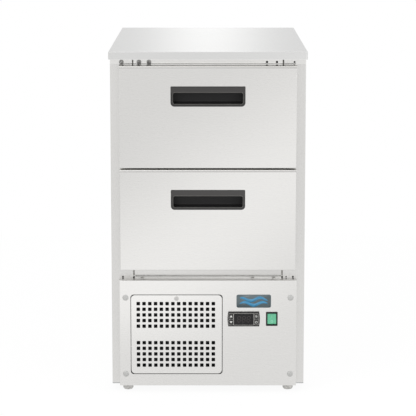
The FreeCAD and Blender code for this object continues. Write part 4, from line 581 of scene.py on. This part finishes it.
class FRIDGE_OT_drawers(bpy.types.Operator):
    """Drawer fronts with their cores, gaskets and handles"""
    bl_idname = "fridge.drawers"
    bl_label = "Drawer fronts"

    def execute(self, context):
        colours = context.scene.fridge_colours
        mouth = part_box("upper_drawer_skin")[0].y + 5 * MM
        # The bead's pale grey is a painted highlight along the mouth's edge.
        bead = moulded_plastic("ABS bead, painted highlight", "#6A6864", 0.15)
        core = moulded_plastic("Formed polystyrene, off-white", "#EEEDEA", 0.4)
        seal = soft_rubber("Soft PVC gasket", "#F2F2F0")
        for level in ("upper", "lower"):
            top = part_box(level + "_drawer_skin")[1].z
            # The bend over the top shows as a grey line with a bright one above it: a grey band of painted
            # shade under a near-white band of painted light.
            painted_bend_shade_and_light = [("Z", top - 6.2 * MM, "#BFBEBC", 0.26), ("Z", top - 3.2 * MM, colours.painted_fold_light, POLISHED)]
            steel = brushed_stainless("Brushed stainless, drawer front, " + level, colours.steel, "x", 0.26,
                                      painted_light_folds=painted_bend_shade_and_light)
            refine(steel, level + "_drawer_skin")
            refine(core, level + "_drawer_infill")
            refine(seal, level + "_drawer_gasket")
            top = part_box(level + "_drawer_handle")[1].z
            handle = pocket_plastic("ABS, dark grey, " + level, colours.handle, colours.rim, colours.pocket,
                                    mouth, (top - HOOD, top - 2 * MM))
            refine(handle, level + "_drawer_handle")
            self.bead(level + "_drawer_handle", bead)
        return {"FINISHED"}

    def bead(self, node, material):
        """Raised bead moulded round the mouth of a handle, under its hood."""
        low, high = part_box(node)
        bottom, top = low.z + 6 * MM, high.z - HOOD + 1 * MM
        x, z = (low.x + high.x) / 2, (bottom + top) / 2
        width, height = high.x - low.x - 11 * MM, top - bottom
        # A triangle in section, by how far each corner stands outside the mouth and back from the face
        section = ((1.3 * MM, 0.05 * MM), (0.8 * MM, -0.35 * MM), (0.3 * MM, 0.05 * MM))
        work = bmesh.new()
        loops = []
        for out, back in section:
            points = rounded(x, z, width + 2 * out, height + 2 * out, 4 * MM + out)
            loops.append([work.verts.new((px, low.y + back, pz)) for px, pz in points])
        for first, second in ((0, 1), (1, 2), (2, 0)):
            for i in range(len(loops[0])):
                k = (i + 1) % len(loops[0])
                work.faces.new((loops[first][i], loops[first][k], loops[second][k], loops[second][i]))
        new_object(node + "_bead", mesh_from(work, node + "_bead"), material, BODY_OF[node])


class FRIDGE_OT_runners(bpy.types.Operator):
    """Telescopic runners and pan carriers"""
    bl_idname = "fridge.runners"
    bl_label = "Runners and carriers"

    def execute(self, context):
        steel = brushed_stainless("Brushed stainless, carriers", context.scene.fridge_colours.steel, "y", 0.3)
        zinc = plated_steel("Zinc-plated runner steel", "#B4B6B6", 0.3)
        for level in ("upper", "lower"):
            refine(steel, level + "_pan_carrier")
            refine(zinc, level + "_runner_inner", level + "_runner_middle")
        refine(zinc, "runner_outer_members")
        return {"FINISHED"}


class FRIDGE_OT_lower_panel(bpy.types.Operator):
    """Lower front panel with its screws and caps"""
    bl_idname = "fridge.lower_panel"
    bl_label = "Lower front panel"

    def execute(self, context):
        colours = context.scene.fridge_colours
        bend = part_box("lower_front_panel")[1].z - 3.5 * MM
        # The top 3.5 mm of the panel, its bend under the lower drawer, is a little paler: painted light.
        steel = brushed_stainless("Brushed stainless, lower panel", colours.panel, "x", 0.26,
                                  painted_light_folds=[("Z", bend, "#DDDCDA", 0.28)])
        refine(steel, "lower_front_panel")
        refine(plated_steel("Nickel-plated screws", "#C4C3C1", 0.25), "panel_screws")
        self.flap_screw(plated_steel("Stainless screw", "#BCBBB9", 0.3))
        self.flap_gap_shade(soft_rubber("Black strip, painted gap shade", "#1D1D1C"))
        refine(moulded_plastic("Polyamide caps, light grey", colours.cap, 0.22), "panel_screw_caps")
        refine(filter_gauze("Filter gauze"), "air_filter")
        return {"FINISHED"}

    def flap_screw(self, material):
        """The flap's screw with its cross recess."""
        low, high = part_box("flap_screw")
        x, z = middle(low, high)
        wide, long = 0.5 * MM, 2.8 * MM
        proud, recess = 1 * MM, 0.6 * MM
        cross = [(wide, long), (-wide, long), (-wide, wide), (-long, wide), (-long, -wide), (-wide, -wide),
                 (-wide, -long), (wide, -long), (wide, -wide), (long, -wide), (long, wide), (wide, wide)]
        work = bmesh.new()
        plate(work, [(x + a, z + b) for a, b in cross], low.y - proud, proud + recess)
        cutter = new_item("cross", mesh_from(work, "cross"))
        cut = modified("flap_screw_head", merged_copy("flap_screw"), "BOOLEAN", object=cutter,
                       operation="DIFFERENCE", solver="EXACT")
        bpy.data.objects.remove(cutter)
        screw = new_object("flap_screw_head", cut, material, BODY_OF["flap_screw"])
        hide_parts("flap_screw")

    def flap_gap_shade(self, material):
        """Black strip on the panel's tab, behind the flap's top edge: painted shade that darkens the flap's
        gap line.
        """
        width, height, thickness = 20 * MM, 1.2 * MM, 0.3 * MM
        x = middle(*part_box("flap_screw"))[0]
        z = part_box("grille_flap")[1].z + height / 2
        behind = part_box("lower_front_panel")[0].y + 1.25 * MM
        work = bmesh.new()
        plate(work, [(x + a, z + b) for a, b in rectangle(width, height)], behind, thickness)
        new_object("flap_gap_shade", mesh_from(work, "flap_gap_shade"), material, BODY_OF["lower_front_panel"])


class FRIDGE_OT_vent_flap(bpy.types.Operator):
    """Perforated vent flap, from a Geometry Nodes tree"""
    bl_idname = "fridge.vent_flap"
    bl_label = "Vent flap"

    def tree(self):
        """A rounded sheet with two blocks of rounded square holes."""
        tree, value, end = new_tree("Perforated flap", {
            "Width": "NodeSocketFloat", "Height": "NodeSocketFloat", "Corner": "NodeSocketFloat",
            "Sheet": "NodeSocketFloat", "Hole": "NodeSocketFloat", "Hole corner": "NodeSocketFloat",
            "Pitch X": "NodeSocketFloat", "Pitch Z": "NodeSocketFloat", "Columns": "NodeSocketInt",
            "Rows": "NodeSocketInt", "End margin": "NodeSocketFloat", "Shift": "NodeSocketFloat",
            "Centre": "NodeSocketVector", "Finish": "NodeSocketMaterial",
        })

        def span(count, pitch):
            """Distance between the centres of the first and the last hole."""
            gaps = add(tree, "ShaderNodeMath", {0: count, 1: 1.0}, operation="SUBTRACT")
            whole = add(tree, "ShaderNodeMath", {0: gaps.outputs[0], 1: pitch}, operation="MULTIPLY")
            return whole.outputs[0]

        def rounded_curve(width, height, radius):
            """Outline of the sheet or of a hole."""
            quad = add(tree, "GeometryNodeCurvePrimitiveQuadrilateral", {"Width": width, "Height": height})
            corner = add(tree, "GeometryNodeFilletCurve", {
                "Curve": quad.outputs[0], "Count": 5, "Radius": radius, "Limit Radius": True,
            }, mode="POLY")
            return corner.outputs[0]

        border = rounded_curve(value["Width"], value["Height"], value["Corner"])
        hole = rounded_curve(value["Hole"], value["Hole"], value["Hole corner"])
        wide = span(value["Columns"], value["Pitch X"])
        tall = span(value["Rows"], value["Pitch Z"])
        grid = add(tree, "GeometryNodeMeshGrid", {
            "Size X": wide, "Size Y": tall, "Vertices X": value["Columns"], "Vertices Y": value["Rows"],
        })
        # Height of a block's centre over the sheet's centre
        rest = add(tree, "ShaderNodeMath", {0: value["Height"], 1: tall}, operation="SUBTRACT")
        half = add(tree, "ShaderNodeMath", {0: rest.outputs[0], 1: 0.5}, operation="MULTIPLY")
        rise = add(tree, "ShaderNodeMath", {0: half.outputs[0], 1: value["End margin"]}, operation="SUBTRACT")
        join = add(tree, "GeometryNodeJoinGeometry")
        tree.links.new(border, join.inputs[0])
        for sign in (-1.0, 1.0):
            height = add(tree, "ShaderNodeMath", {0: rise.outputs[0], 1: sign}, operation="MULTIPLY")
            shift = add(tree, "ShaderNodeCombineXYZ", {"X": value["Shift"], "Y": height.outputs[0]})
            block = add(tree, "GeometryNodeTransform", {
                "Geometry": grid.outputs[0], "Translation": shift.outputs[0],
            })
            holes = add(tree, "GeometryNodeInstanceOnPoints", {"Points": block.outputs[0], "Instance": hole})
            real = add(tree, "GeometryNodeRealizeInstances", {0: holes.outputs[0]})
            tree.links.new(real.outputs[0], join.inputs[0])
        face = add(tree, "GeometryNodeFillCurve", {"Curve": join.outputs[0]}, mode="NGONS")
        thick = add(tree, "GeometryNodeExtrudeMesh", {
            "Mesh": face.outputs[0], "Offset Scale": value["Sheet"], "Individual": False,
        })
        closed = add(tree, "GeometryNodeJoinGeometry")
        flipped = add(tree, "GeometryNodeFlipFaces", {0: face.outputs[0]})
        tree.links.new(thick.outputs[0], closed.inputs[0])
        tree.links.new(flipped.outputs[0], closed.inputs[0])
        merged = add(tree, "GeometryNodeMergeByDistance", {
            "Geometry": closed.outputs[0], "Distance": 0.01 * MM,
        })
        placed = add(tree, "GeometryNodeTransform", {
            "Geometry": merged.outputs[0], "Translation": value["Centre"],
            "Rotation": (math.radians(90), 0.0, 0.0),
        })
        real = add(tree, "GeometryNodeRealizeInstances", {0: placed.outputs[0]})
        finish = add(tree, "GeometryNodeSetMaterial", {
            "Geometry": real.outputs[0], "Material": value["Finish"],
        })
        tree.links.new(finish.outputs[0], end.inputs[0])
        return tree

    def execute(self, context):
        sizes = context.scene.fridge_sizes
        steel = brushed_stainless("Brushed stainless, flap", context.scene.fridge_colours.flap, "x", 0.26)
        low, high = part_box("grille_flap")
        x, z = middle(low, high)
        values = {
            "Width": high.x - low.x, "Height": high.z - low.z, "Corner": sizes.flap_corner,
            "Sheet": sizes.flap_sheet, "Hole": sizes.hole, "Hole corner": sizes.hole_corner,
            "Pitch X": sizes.pitch_x, "Pitch Z": sizes.pitch_z, "Columns": sizes.columns,
            "Rows": sizes.rows, "End margin": sizes.end_margin, "Shift": sizes.shift,
            "Centre": (x, low.y + sizes.flap_sheet, z), "Finish": steel,
        }
        flap = apply_tree("vent_flap_sheet", self.tree(), values, steel, BODY_OF["grille_flap"])
        for edge in flap.data.edges:
            edge.use_edge_sharp = True
        self.knuckles(steel, low, high)
        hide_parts("grille_flap")
        return {"FINISHED"}

    def knuckles(self, steel, low, high):
        """Rolled knuckles behind the lower edge."""
        radius, length, apart = 3 * MM, 10 * MM, 140 * MM
        work = bmesh.new()
        for side in (-0.5, 0.5):
            x = middle(low, high)[0] + side * apart
            turn = Matrix.Translation((x, high.y - radius, low.z + radius + 0.2 * MM))
            turn = turn @ Euler((0, math.radians(90), 0)).to_matrix().to_4x4()
            bmesh.ops.create_cone(work, cap_ends=True, segments=24, radius1=radius, radius2=radius,
                                  depth=length, matrix=turn)
        new_object("vent_flap_knuckles", mesh_from(work, "vent_flap_knuckles"), steel,
                   BODY_OF["grille_flap"])


class FRIDGE_OT_controller(bpy.types.Operator):
    """Thermostat with its window and four keys"""
    bl_idname = "fridge.controller"
    bl_label = "Controller"

    def execute(self, context):
        colours = context.scene.fridge_colours
        refine(moulded_plastic("Polycarbonate, charcoal", colours.controls, 0.3, 0.5, 0.004, level=0.25),
               "controller_housing")
        refine(smoked_window("Smoked polycarbonate"), "controller_lens")
        keys = [name for name in frame["nodes"] if name.startswith("key_")]
        refine(moulded_plastic("Silicone keys, dark grey", "#2A2928", 0.5, 0.4, 0.006), *keys)
        self.signs(moulded_plastic("Pad-printed ink, white", "#EEEEEA", 0.5, 0.4, 0.001))
        self.frames(keys, moulded_plastic("Pad-printed ink, grey", "#D2D0CC", 0.5, 0.4, 0.001))
        self.digits(moulded_plastic("Unlit segments", "#332B2D", 0.3, 0.5, 0.001))
        return {"FINISHED"}

    def signs(self, ink):
        """Generic signs on the keys, drawn on a grid of 1.25 mm."""
        grid = 1.25 * MM
        up = [(-2.6, -1.6), (2.6, -1.6), (0, 2.1)]
        down = [(x, -z) for x, z in reversed(up)]
        flake = [self.bar(60 * k + 30, 0.45, 2.5, 0.28) for k in range(6)]
        shapes_on = {"key_upper_left": [up], "key_lower_left": [down], "key_upper_right": flake,
                     "key_lower_right": self.power()}
        for key, shapes in shapes_on.items():
            low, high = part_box(key)
            x, z = middle(low, high)
            work = bmesh.new()
            for shape in shapes:
                plate(work, [(x + a * grid, z + b * grid) for a, b in shape], low.y - 0.06 * MM, PRINT)
            new_object(key + "_sign", mesh_from(work, key + "_sign"), ink, BODY_OF[key])

    def bar(self, degrees, inner, outer, half):
        """Bar that runs outwards at an angle."""
        c, s = math.cos(math.radians(degrees)), math.sin(math.radians(degrees))
        corners = [(inner, -half), (outer, -half), (outer, half), (inner, half)]
        return [(x * c - z * s, x * s + z * c) for x, z in corners]

    def power(self):
        """Bar in a ring that is open at its top."""
        inner, outer, parts, gap = 1.6, 2.2, 14, 1.5
        shapes = [self.bar(90, 0.6, 2.6, 0.3)]
        for k in range(parts - 3):
            a, b = (math.radians(90 + 360 * (k + gap + step) / parts) for step in (0, 1))
            corners = ((inner, a), (outer, a), (outer, b), (inner, b))
            shapes.append([(radius * math.cos(angle), radius * math.sin(angle)) for radius, angle in corners])
        return shapes

    def frames(self, keys, ink):
        """Thin printed frames round the window and the keys."""
        line = 0.5 * MM
        prints = [("controller_lens", 0.3 * MM, 1.0 * MM)] + [(key, 0.5 * MM, 1.6 * MM) for key in keys]
        work = bmesh.new()
        for node, margin, corner in prints:
            low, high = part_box(node)
            x, z = middle(low, high)
            width, height = high.x - low.x + 2 * margin, high.z - low.z + 2 * margin
            outer = rounded(x, z, width + 2 * line, height + 2 * line, corner + line)
            face = surface("controller_housing", x, high.z + margin + line)
            ring_plate(work, outer, rounded(x, z, width, height, corner), face - 0.05 * MM, PRINT)
        new_object("controller_frames", mesh_from(work, "controller_frames"), ink,
                   BODY_OF["controller_housing"])

    def digits(self, material):
        """Three unlit seven-segment digits in the window."""
        low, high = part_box("controller_lens")
        x, z = middle(low, high)
        tall = 0.5 * (high.z - low.z)
        wide, line, slant = 0.52 * tall, 0.11 * tall, 0.12
        level, upright = (wide - line, line), (line, tall / 2 - line)
        segments = [(0, up, level) for up in (1, 0, -1)]
        segments += [(across, up, upright) for up in (0.5, -0.5) for across in (-1, 1)]
        work = bmesh.new()
        for place in (-1, 0, 1):
            for across, up, size in segments:
                dx = place * 1.6 * wide + across * wide / 2
                dz = up * tall / 2
                points = [(x + dx + a + slant * (dz + b), z + dz + b) for a, b in rectangle(*size)]
                plate(work, points, low.y - 0.03 * MM, 0.06 * MM)
        new_object("controller_digits", mesh_from(work, "controller_digits"), material,
                   BODY_OF["controller_lens"])


class FRIDGE_OT_switch(bpy.types.Operator):
    """Mains switch with its lit rocker"""
    bl_idname = "fridge.switch"
    bl_label = "Mains switch"

    def execute(self, context):
        refine(moulded_plastic("Polyamide, switch black", "#181819", 0.4, level=0.25), "switch_bezel")
        refine(lit_green("Lit green polycarbonate", context.scene.fridge_colours.rocker), "switch_rocker")
        x, z = middle(*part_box("switch_rocker"))
        lift, size, thickness = 5.2 * MM, 5.4 * MM, 0.2 * MM
        hole = size - 2.2 * MM
        work = bmesh.new()
        plate(work, rounded(x, z + lift, 1.3 * MM, size, 0.5 * MM), 0.0, thickness)
        ring_plate(work, rounded(x, z - lift, size, size, size / 2 - 0.01 * MM),
                   rounded(x, z - lift, hole, hole, hole / 2 - 0.01 * MM), 0.0, thickness)
        for vert in work.verts:
            # The marks follow the slope of the rocker's face.
            vert.co.y += surface("switch_rocker", vert.co.x, vert.co.z) - 0.06 * MM
        ink = moulded_plastic("Moulded marks, pale green", "#93D8B9", 0.35, 0.4, 0.001)
        new_object("rocker_marks", mesh_from(work, "rocker_marks"), ink, BODY_OF["switch_rocker"])
        return {"FINISHED"}


class FRIDGE_OT_badge(bpy.types.Operator):
    """Plain badge plate with a wave"""
    bl_idname = "fridge.badge"
    bl_label = "Badge"

    def execute(self, context):
        colours = context.scene.fridge_colours
        low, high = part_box("badge_plate")
        x, z = middle(low, high)
        width, height = high.x - low.x, high.z - low.z
        work = bmesh.new()
        plate(work, rounded(x, z, width, height, 4 * MM), low.y, high.y - low.y)
        lacquer = moulded_plastic("Lacquered aluminium, grey", colours.badge, 0.3, 0.5, 0.002)
        badge = new_object("badge_rounded", mesh_from(work, "badge_rounded"), lacquer,
                           BODY_OF["badge_plate"])
        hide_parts("badge_plate")
        work = bmesh.new()
        steps, length, swing, thickness = 32, 0.82 * width, 0.12 * height, 0.12 * height
        for k, lift in enumerate((-0.19 * height, 0.15 * height)):
            top, bottom = [], []
            for i in range(steps + 1):
                t = i / steps
                line = z + lift + swing * math.sin(3 * math.pi * t + k)
                half = thickness * math.sin(math.pi * t) ** 0.4 + 0.005 * height
                top.append((x + (t - 0.5) * length, line + half))
                bottom.append((x + (t - 0.5) * length, line - half))
            plate(work, bottom + top[::-1], low.y - 0.06 * MM, PRINT)
        ink = moulded_plastic("Screen-printed wave, blue", colours.badge_mark, 0.3, 0.5, 0.001)
        new_object("badge_wave", mesh_from(work, "badge_wave"), ink, BODY_OF["badge_plate"])
        return {"FINISHED"}


class FRIDGE_OT_machine(bpy.types.Operator):
    """Condensing unit behind the lower panel"""
    bl_idname = "fridge.machine"
    bl_label = "Machine compartment"

    def execute(self, context):
        refine(black_enamel("Black enamel, compressor"), "compressor", "condenser_fan_motor")
        refine(soft_rubber("Mount rubber", "#1E1E1F"), "compressor_mounts")
        refine(coil_aluminium("Aluminium fins, condenser"), "condenser")
        refine(galvanised_sheet("Galvanised shroud"), "condenser_fan_shroud")
        refine(moulded_plastic("Polypropylene, black fan", "#1A1A1B", 0.4), "condenser_fan_blade")
        refine(copper_tube("Drawn copper"), "refrigerant_pipes")
        refine(moulded_plastic("Polypropylene, white tray", "#DEDDD9", 0.35), "drip_tray")
        return {"FINISHED"}


class FRIDGE_OT_cell(bpy.types.Operator):
    """Liner, evaporator and its fan"""
    bl_idname = "fridge.cell"
    bl_label = "Cooled cell"

    def execute(self, context):
        code = context.scene.fridge_colours.steel
        refine(brushed_stainless("Brushed stainless, liner", code, "y", 0.24), "inner_liner")
        refine(brushed_stainless("Brushed stainless, cover", code, "z", 0.26), "evaporator_cover")
        refine(coil_aluminium("Aluminium fins, evaporator"), "evaporator")
        refine(moulded_plastic("Polypropylene, dark fan", "#202022", 0.4), "evaporator_fan_blade")
        refine(black_enamel("Black enamel, fan motor"), "evaporator_fan_motor")
        return {"FINISHED"}


class FRIDGE_OT_stage(bpy.types.Operator):
    """White studio floor, soft lamps, world and camera"""
    bl_idname = "fridge.stage"
    bl_label = "Studio"

    def floor(self):
        """Round floor: matt white paint, which the camera sees mostly as plain white."""
        work = bmesh.new()
        bmesh.ops.create_circle(work, cap_ends=True, segments=64, radius=1.7)
        mesh = bpy.data.meshes.new("studio_floor")
        work.to_mesh(mesh)
        work.free()
        material, tree = new_material("Matt white floor")
        paint = add(tree, "ShaderNodeBsdfDiffuse", {"Color": linear("#EDEDED")})
        white = add(tree, "ShaderNodeEmission", {"Color": (1, 1, 1, 1), "Strength": 1.03})
        share = add(tree, "ShaderNodeMath", {0: self.seen(tree), 1: 0.9}, operation="MULTIPLY")
        mix = add(tree, "ShaderNodeMixShader", {
            0: share.outputs[0], 1: paint.outputs[0], 2: white.outputs[0],
        })
        add(tree, "ShaderNodeOutputMaterial", {"Surface": mix.outputs[0]})
        mesh.materials.append(material)
        new_item("studio_floor", mesh)

    def seen(self, tree):
        """1 for camera, glossy and transmission rays."""
        path = add(tree, "ShaderNodeLightPath")
        rays = path.outputs["Is Camera Ray"]
        for kind in ("Is Glossy Ray", "Is Transmission Ray"):
            either = add(tree, "ShaderNodeMath", {0: rays, 1: path.outputs[kind]}, operation="MAXIMUM")
            rays = either.outputs[0]
        return rays

    def world(self):
        """White for the camera, steel and clear plastic. It lights the matt surfaces a little less."""
        world = bpy.data.worlds.new("Studio")
        bpy.context.scene.world = world
        world.use_nodes = True
        tree = world.node_tree
        tree.nodes.clear()
        strength = add(tree, "ShaderNodeMix", {0: self.seen(tree), 2: 0.72, 3: 1.0}, data_type="FLOAT")
        white = add(tree, "ShaderNodeBackground", {"Color": (1, 1, 1, 1), "Strength": strength.outputs[0]})
        add(tree, "ShaderNodeOutputWorld", {"Surface": white.outputs[0]})

    def lamp(self, name, place, target, size, power, roll=0.0):
        """Rectangular softbox of a size in metres and a power in watts, aimed at a target."""
        data = bpy.data.lights.new(name, "AREA")
        data.shape = "RECTANGLE"
        data.size, data.size_y = size
        data.energy = power
        lamp = new_item(name, data)
        lamp.location = place
        aim = (Vector(target) - Vector(place)).to_track_quat("-Z", "Y")
        lamp.rotation_euler = (aim.to_matrix() @ Matrix.Rotation(roll, 3, "Z")).to_euler()
        lamp.visible_camera = False
        return lamp

    def soften(self, lamp, across):
        """Let a softbox fade out towards its edges along its width (0) or its height (1)."""
        data = lamp.data
        data.use_nodes = True
        tree = data.node_tree
        tree.nodes.clear()
        place = add(tree, "ShaderNodeNewGeometry").outputs["Parametric"]
        along = add(tree, "ShaderNodeSeparateXYZ", {0: place}).outputs[across]
        turn = add(tree, "ShaderNodeMath", {0: along, 1: math.pi}, operation="MULTIPLY")
        wave = add(tree, "ShaderNodeMath", {0: turn.outputs[0]}, operation="SINE")
        fade = add(tree, "ShaderNodeMath", {0: wave.outputs[0], 1: 2.0}, operation="POWER")
        glow = add(tree, "ShaderNodeEmission", {"Strength": fade.outputs[0]})
        add(tree, "ShaderNodeOutputLight", {"Surface": glow.outputs[0]})

    def camera(self):
        """The photograph's view: from the front, a little above, through a long lens."""
        data = bpy.data.cameras.new("Camera")
        data.lens = 164.15
        data.sensor_width = 36.0
        camera = new_item("Camera", data)
        camera.location = (0.0, -4.4734, 1.1333)
        camera.rotation_euler = (math.radians(90 - 9.74), 0.0, 0.0)
        bpy.context.scene.camera = camera

    def execute(self, context):
        self.floor()
        self.world()
        self.lamp("Key softbox", (-1.6, -2.6, 2.6), (0, 0, 0.4), (1.6, 1.6), 26)
        self.lamp("Fill softbox", (2.4, -2.2, 1.6), (0, 0, 0.4), (1.6, 1.8), 14)
        self.lamp("Top softbox", (0.0, 0.4, 3.2), (0, 0, 0.7), (2.4, 2.4), 6)
        # The worktop mirrors the first strip, and the fronts mirror the second.
        back = self.lamp("Strip behind the worktop", (0.0, 2.5, 1.2), (0.0, 0.0, 1.2), (0.64, 2.0), 2.15)
        self.soften(back, 0)
        front = self.lamp("Slanted strip in front", (0.0, -0.95, 0.253), (0.0, 0.0, 0.253), (1.3, 0.66), 0.8,
                          math.radians(35))
        self.soften(front, 1)
        self.camera()
        context.scene.view_settings.view_transform = "Standard"
        return {"FINISHED"}


class FRIDGE_PT_panel(bpy.types.Panel):
    """Lists the steps that dress the fridge"""
    bl_idname = "FRIDGE_PT_panel"
    bl_label = "Counter fridge"
    bl_space_type = "VIEW_3D"
    bl_region_type = "UI"
    bl_category = "Fridge"

    def draw(self, context):
        for operator in OPERATORS:
            self.layout.operator(operator.bl_idname)
        for group in (context.scene.fridge_sizes, context.scene.fridge_colours):
            for name in group.bl_rna.properties.keys():
                if name not in ("rna_type", "name"):
                    self.layout.prop(group, name)


OPERATORS = (
    FRIDGE_OT_stage,
    FRIDGE_OT_casing,
    FRIDGE_OT_feet,
    FRIDGE_OT_drawers,
    FRIDGE_OT_runners,
    FRIDGE_OT_lower_panel,
    FRIDGE_OT_vent_flap,
    FRIDGE_OT_controller,
    FRIDGE_OT_switch,
    FRIDGE_OT_badge,
    FRIDGE_OT_machine,
    FRIDGE_OT_cell,
)
CLASSES = (FridgeSizes, FridgeColours) + OPERATORS + (FRIDGE_PT_panel,)


def register():
    for item in CLASSES:
        bpy.utils.register_class(item)
    bpy.types.Scene.fridge_sizes = bpy.props.PointerProperty(type=FridgeSizes)
    bpy.types.Scene.fridge_colours = bpy.props.PointerProperty(type=FridgeColours)


def unregister():
    del bpy.types.Scene.fridge_colours
    del bpy.types.Scene.fridge_sizes
    for item in reversed(CLASSES):
        bpy.utils.unregister_class(item)


def main():
    register()
    bpy.ops.fridge.stage()
    bpy.ops.fridge.casing()
    bpy.ops.fridge.feet()
    bpy.ops.fridge.drawers()
    bpy.ops.fridge.runners()
    bpy.ops.fridge.lower_panel()
    bpy.ops.fridge.vent_flap()
    bpy.ops.fridge.controller()
    bpy.ops.fridge.switch()
    bpy.ops.fridge.badge()
    bpy.ops.fridge.machine()
    bpy.ops.fridge.cell()


if __name__ == "__main__":
    main()
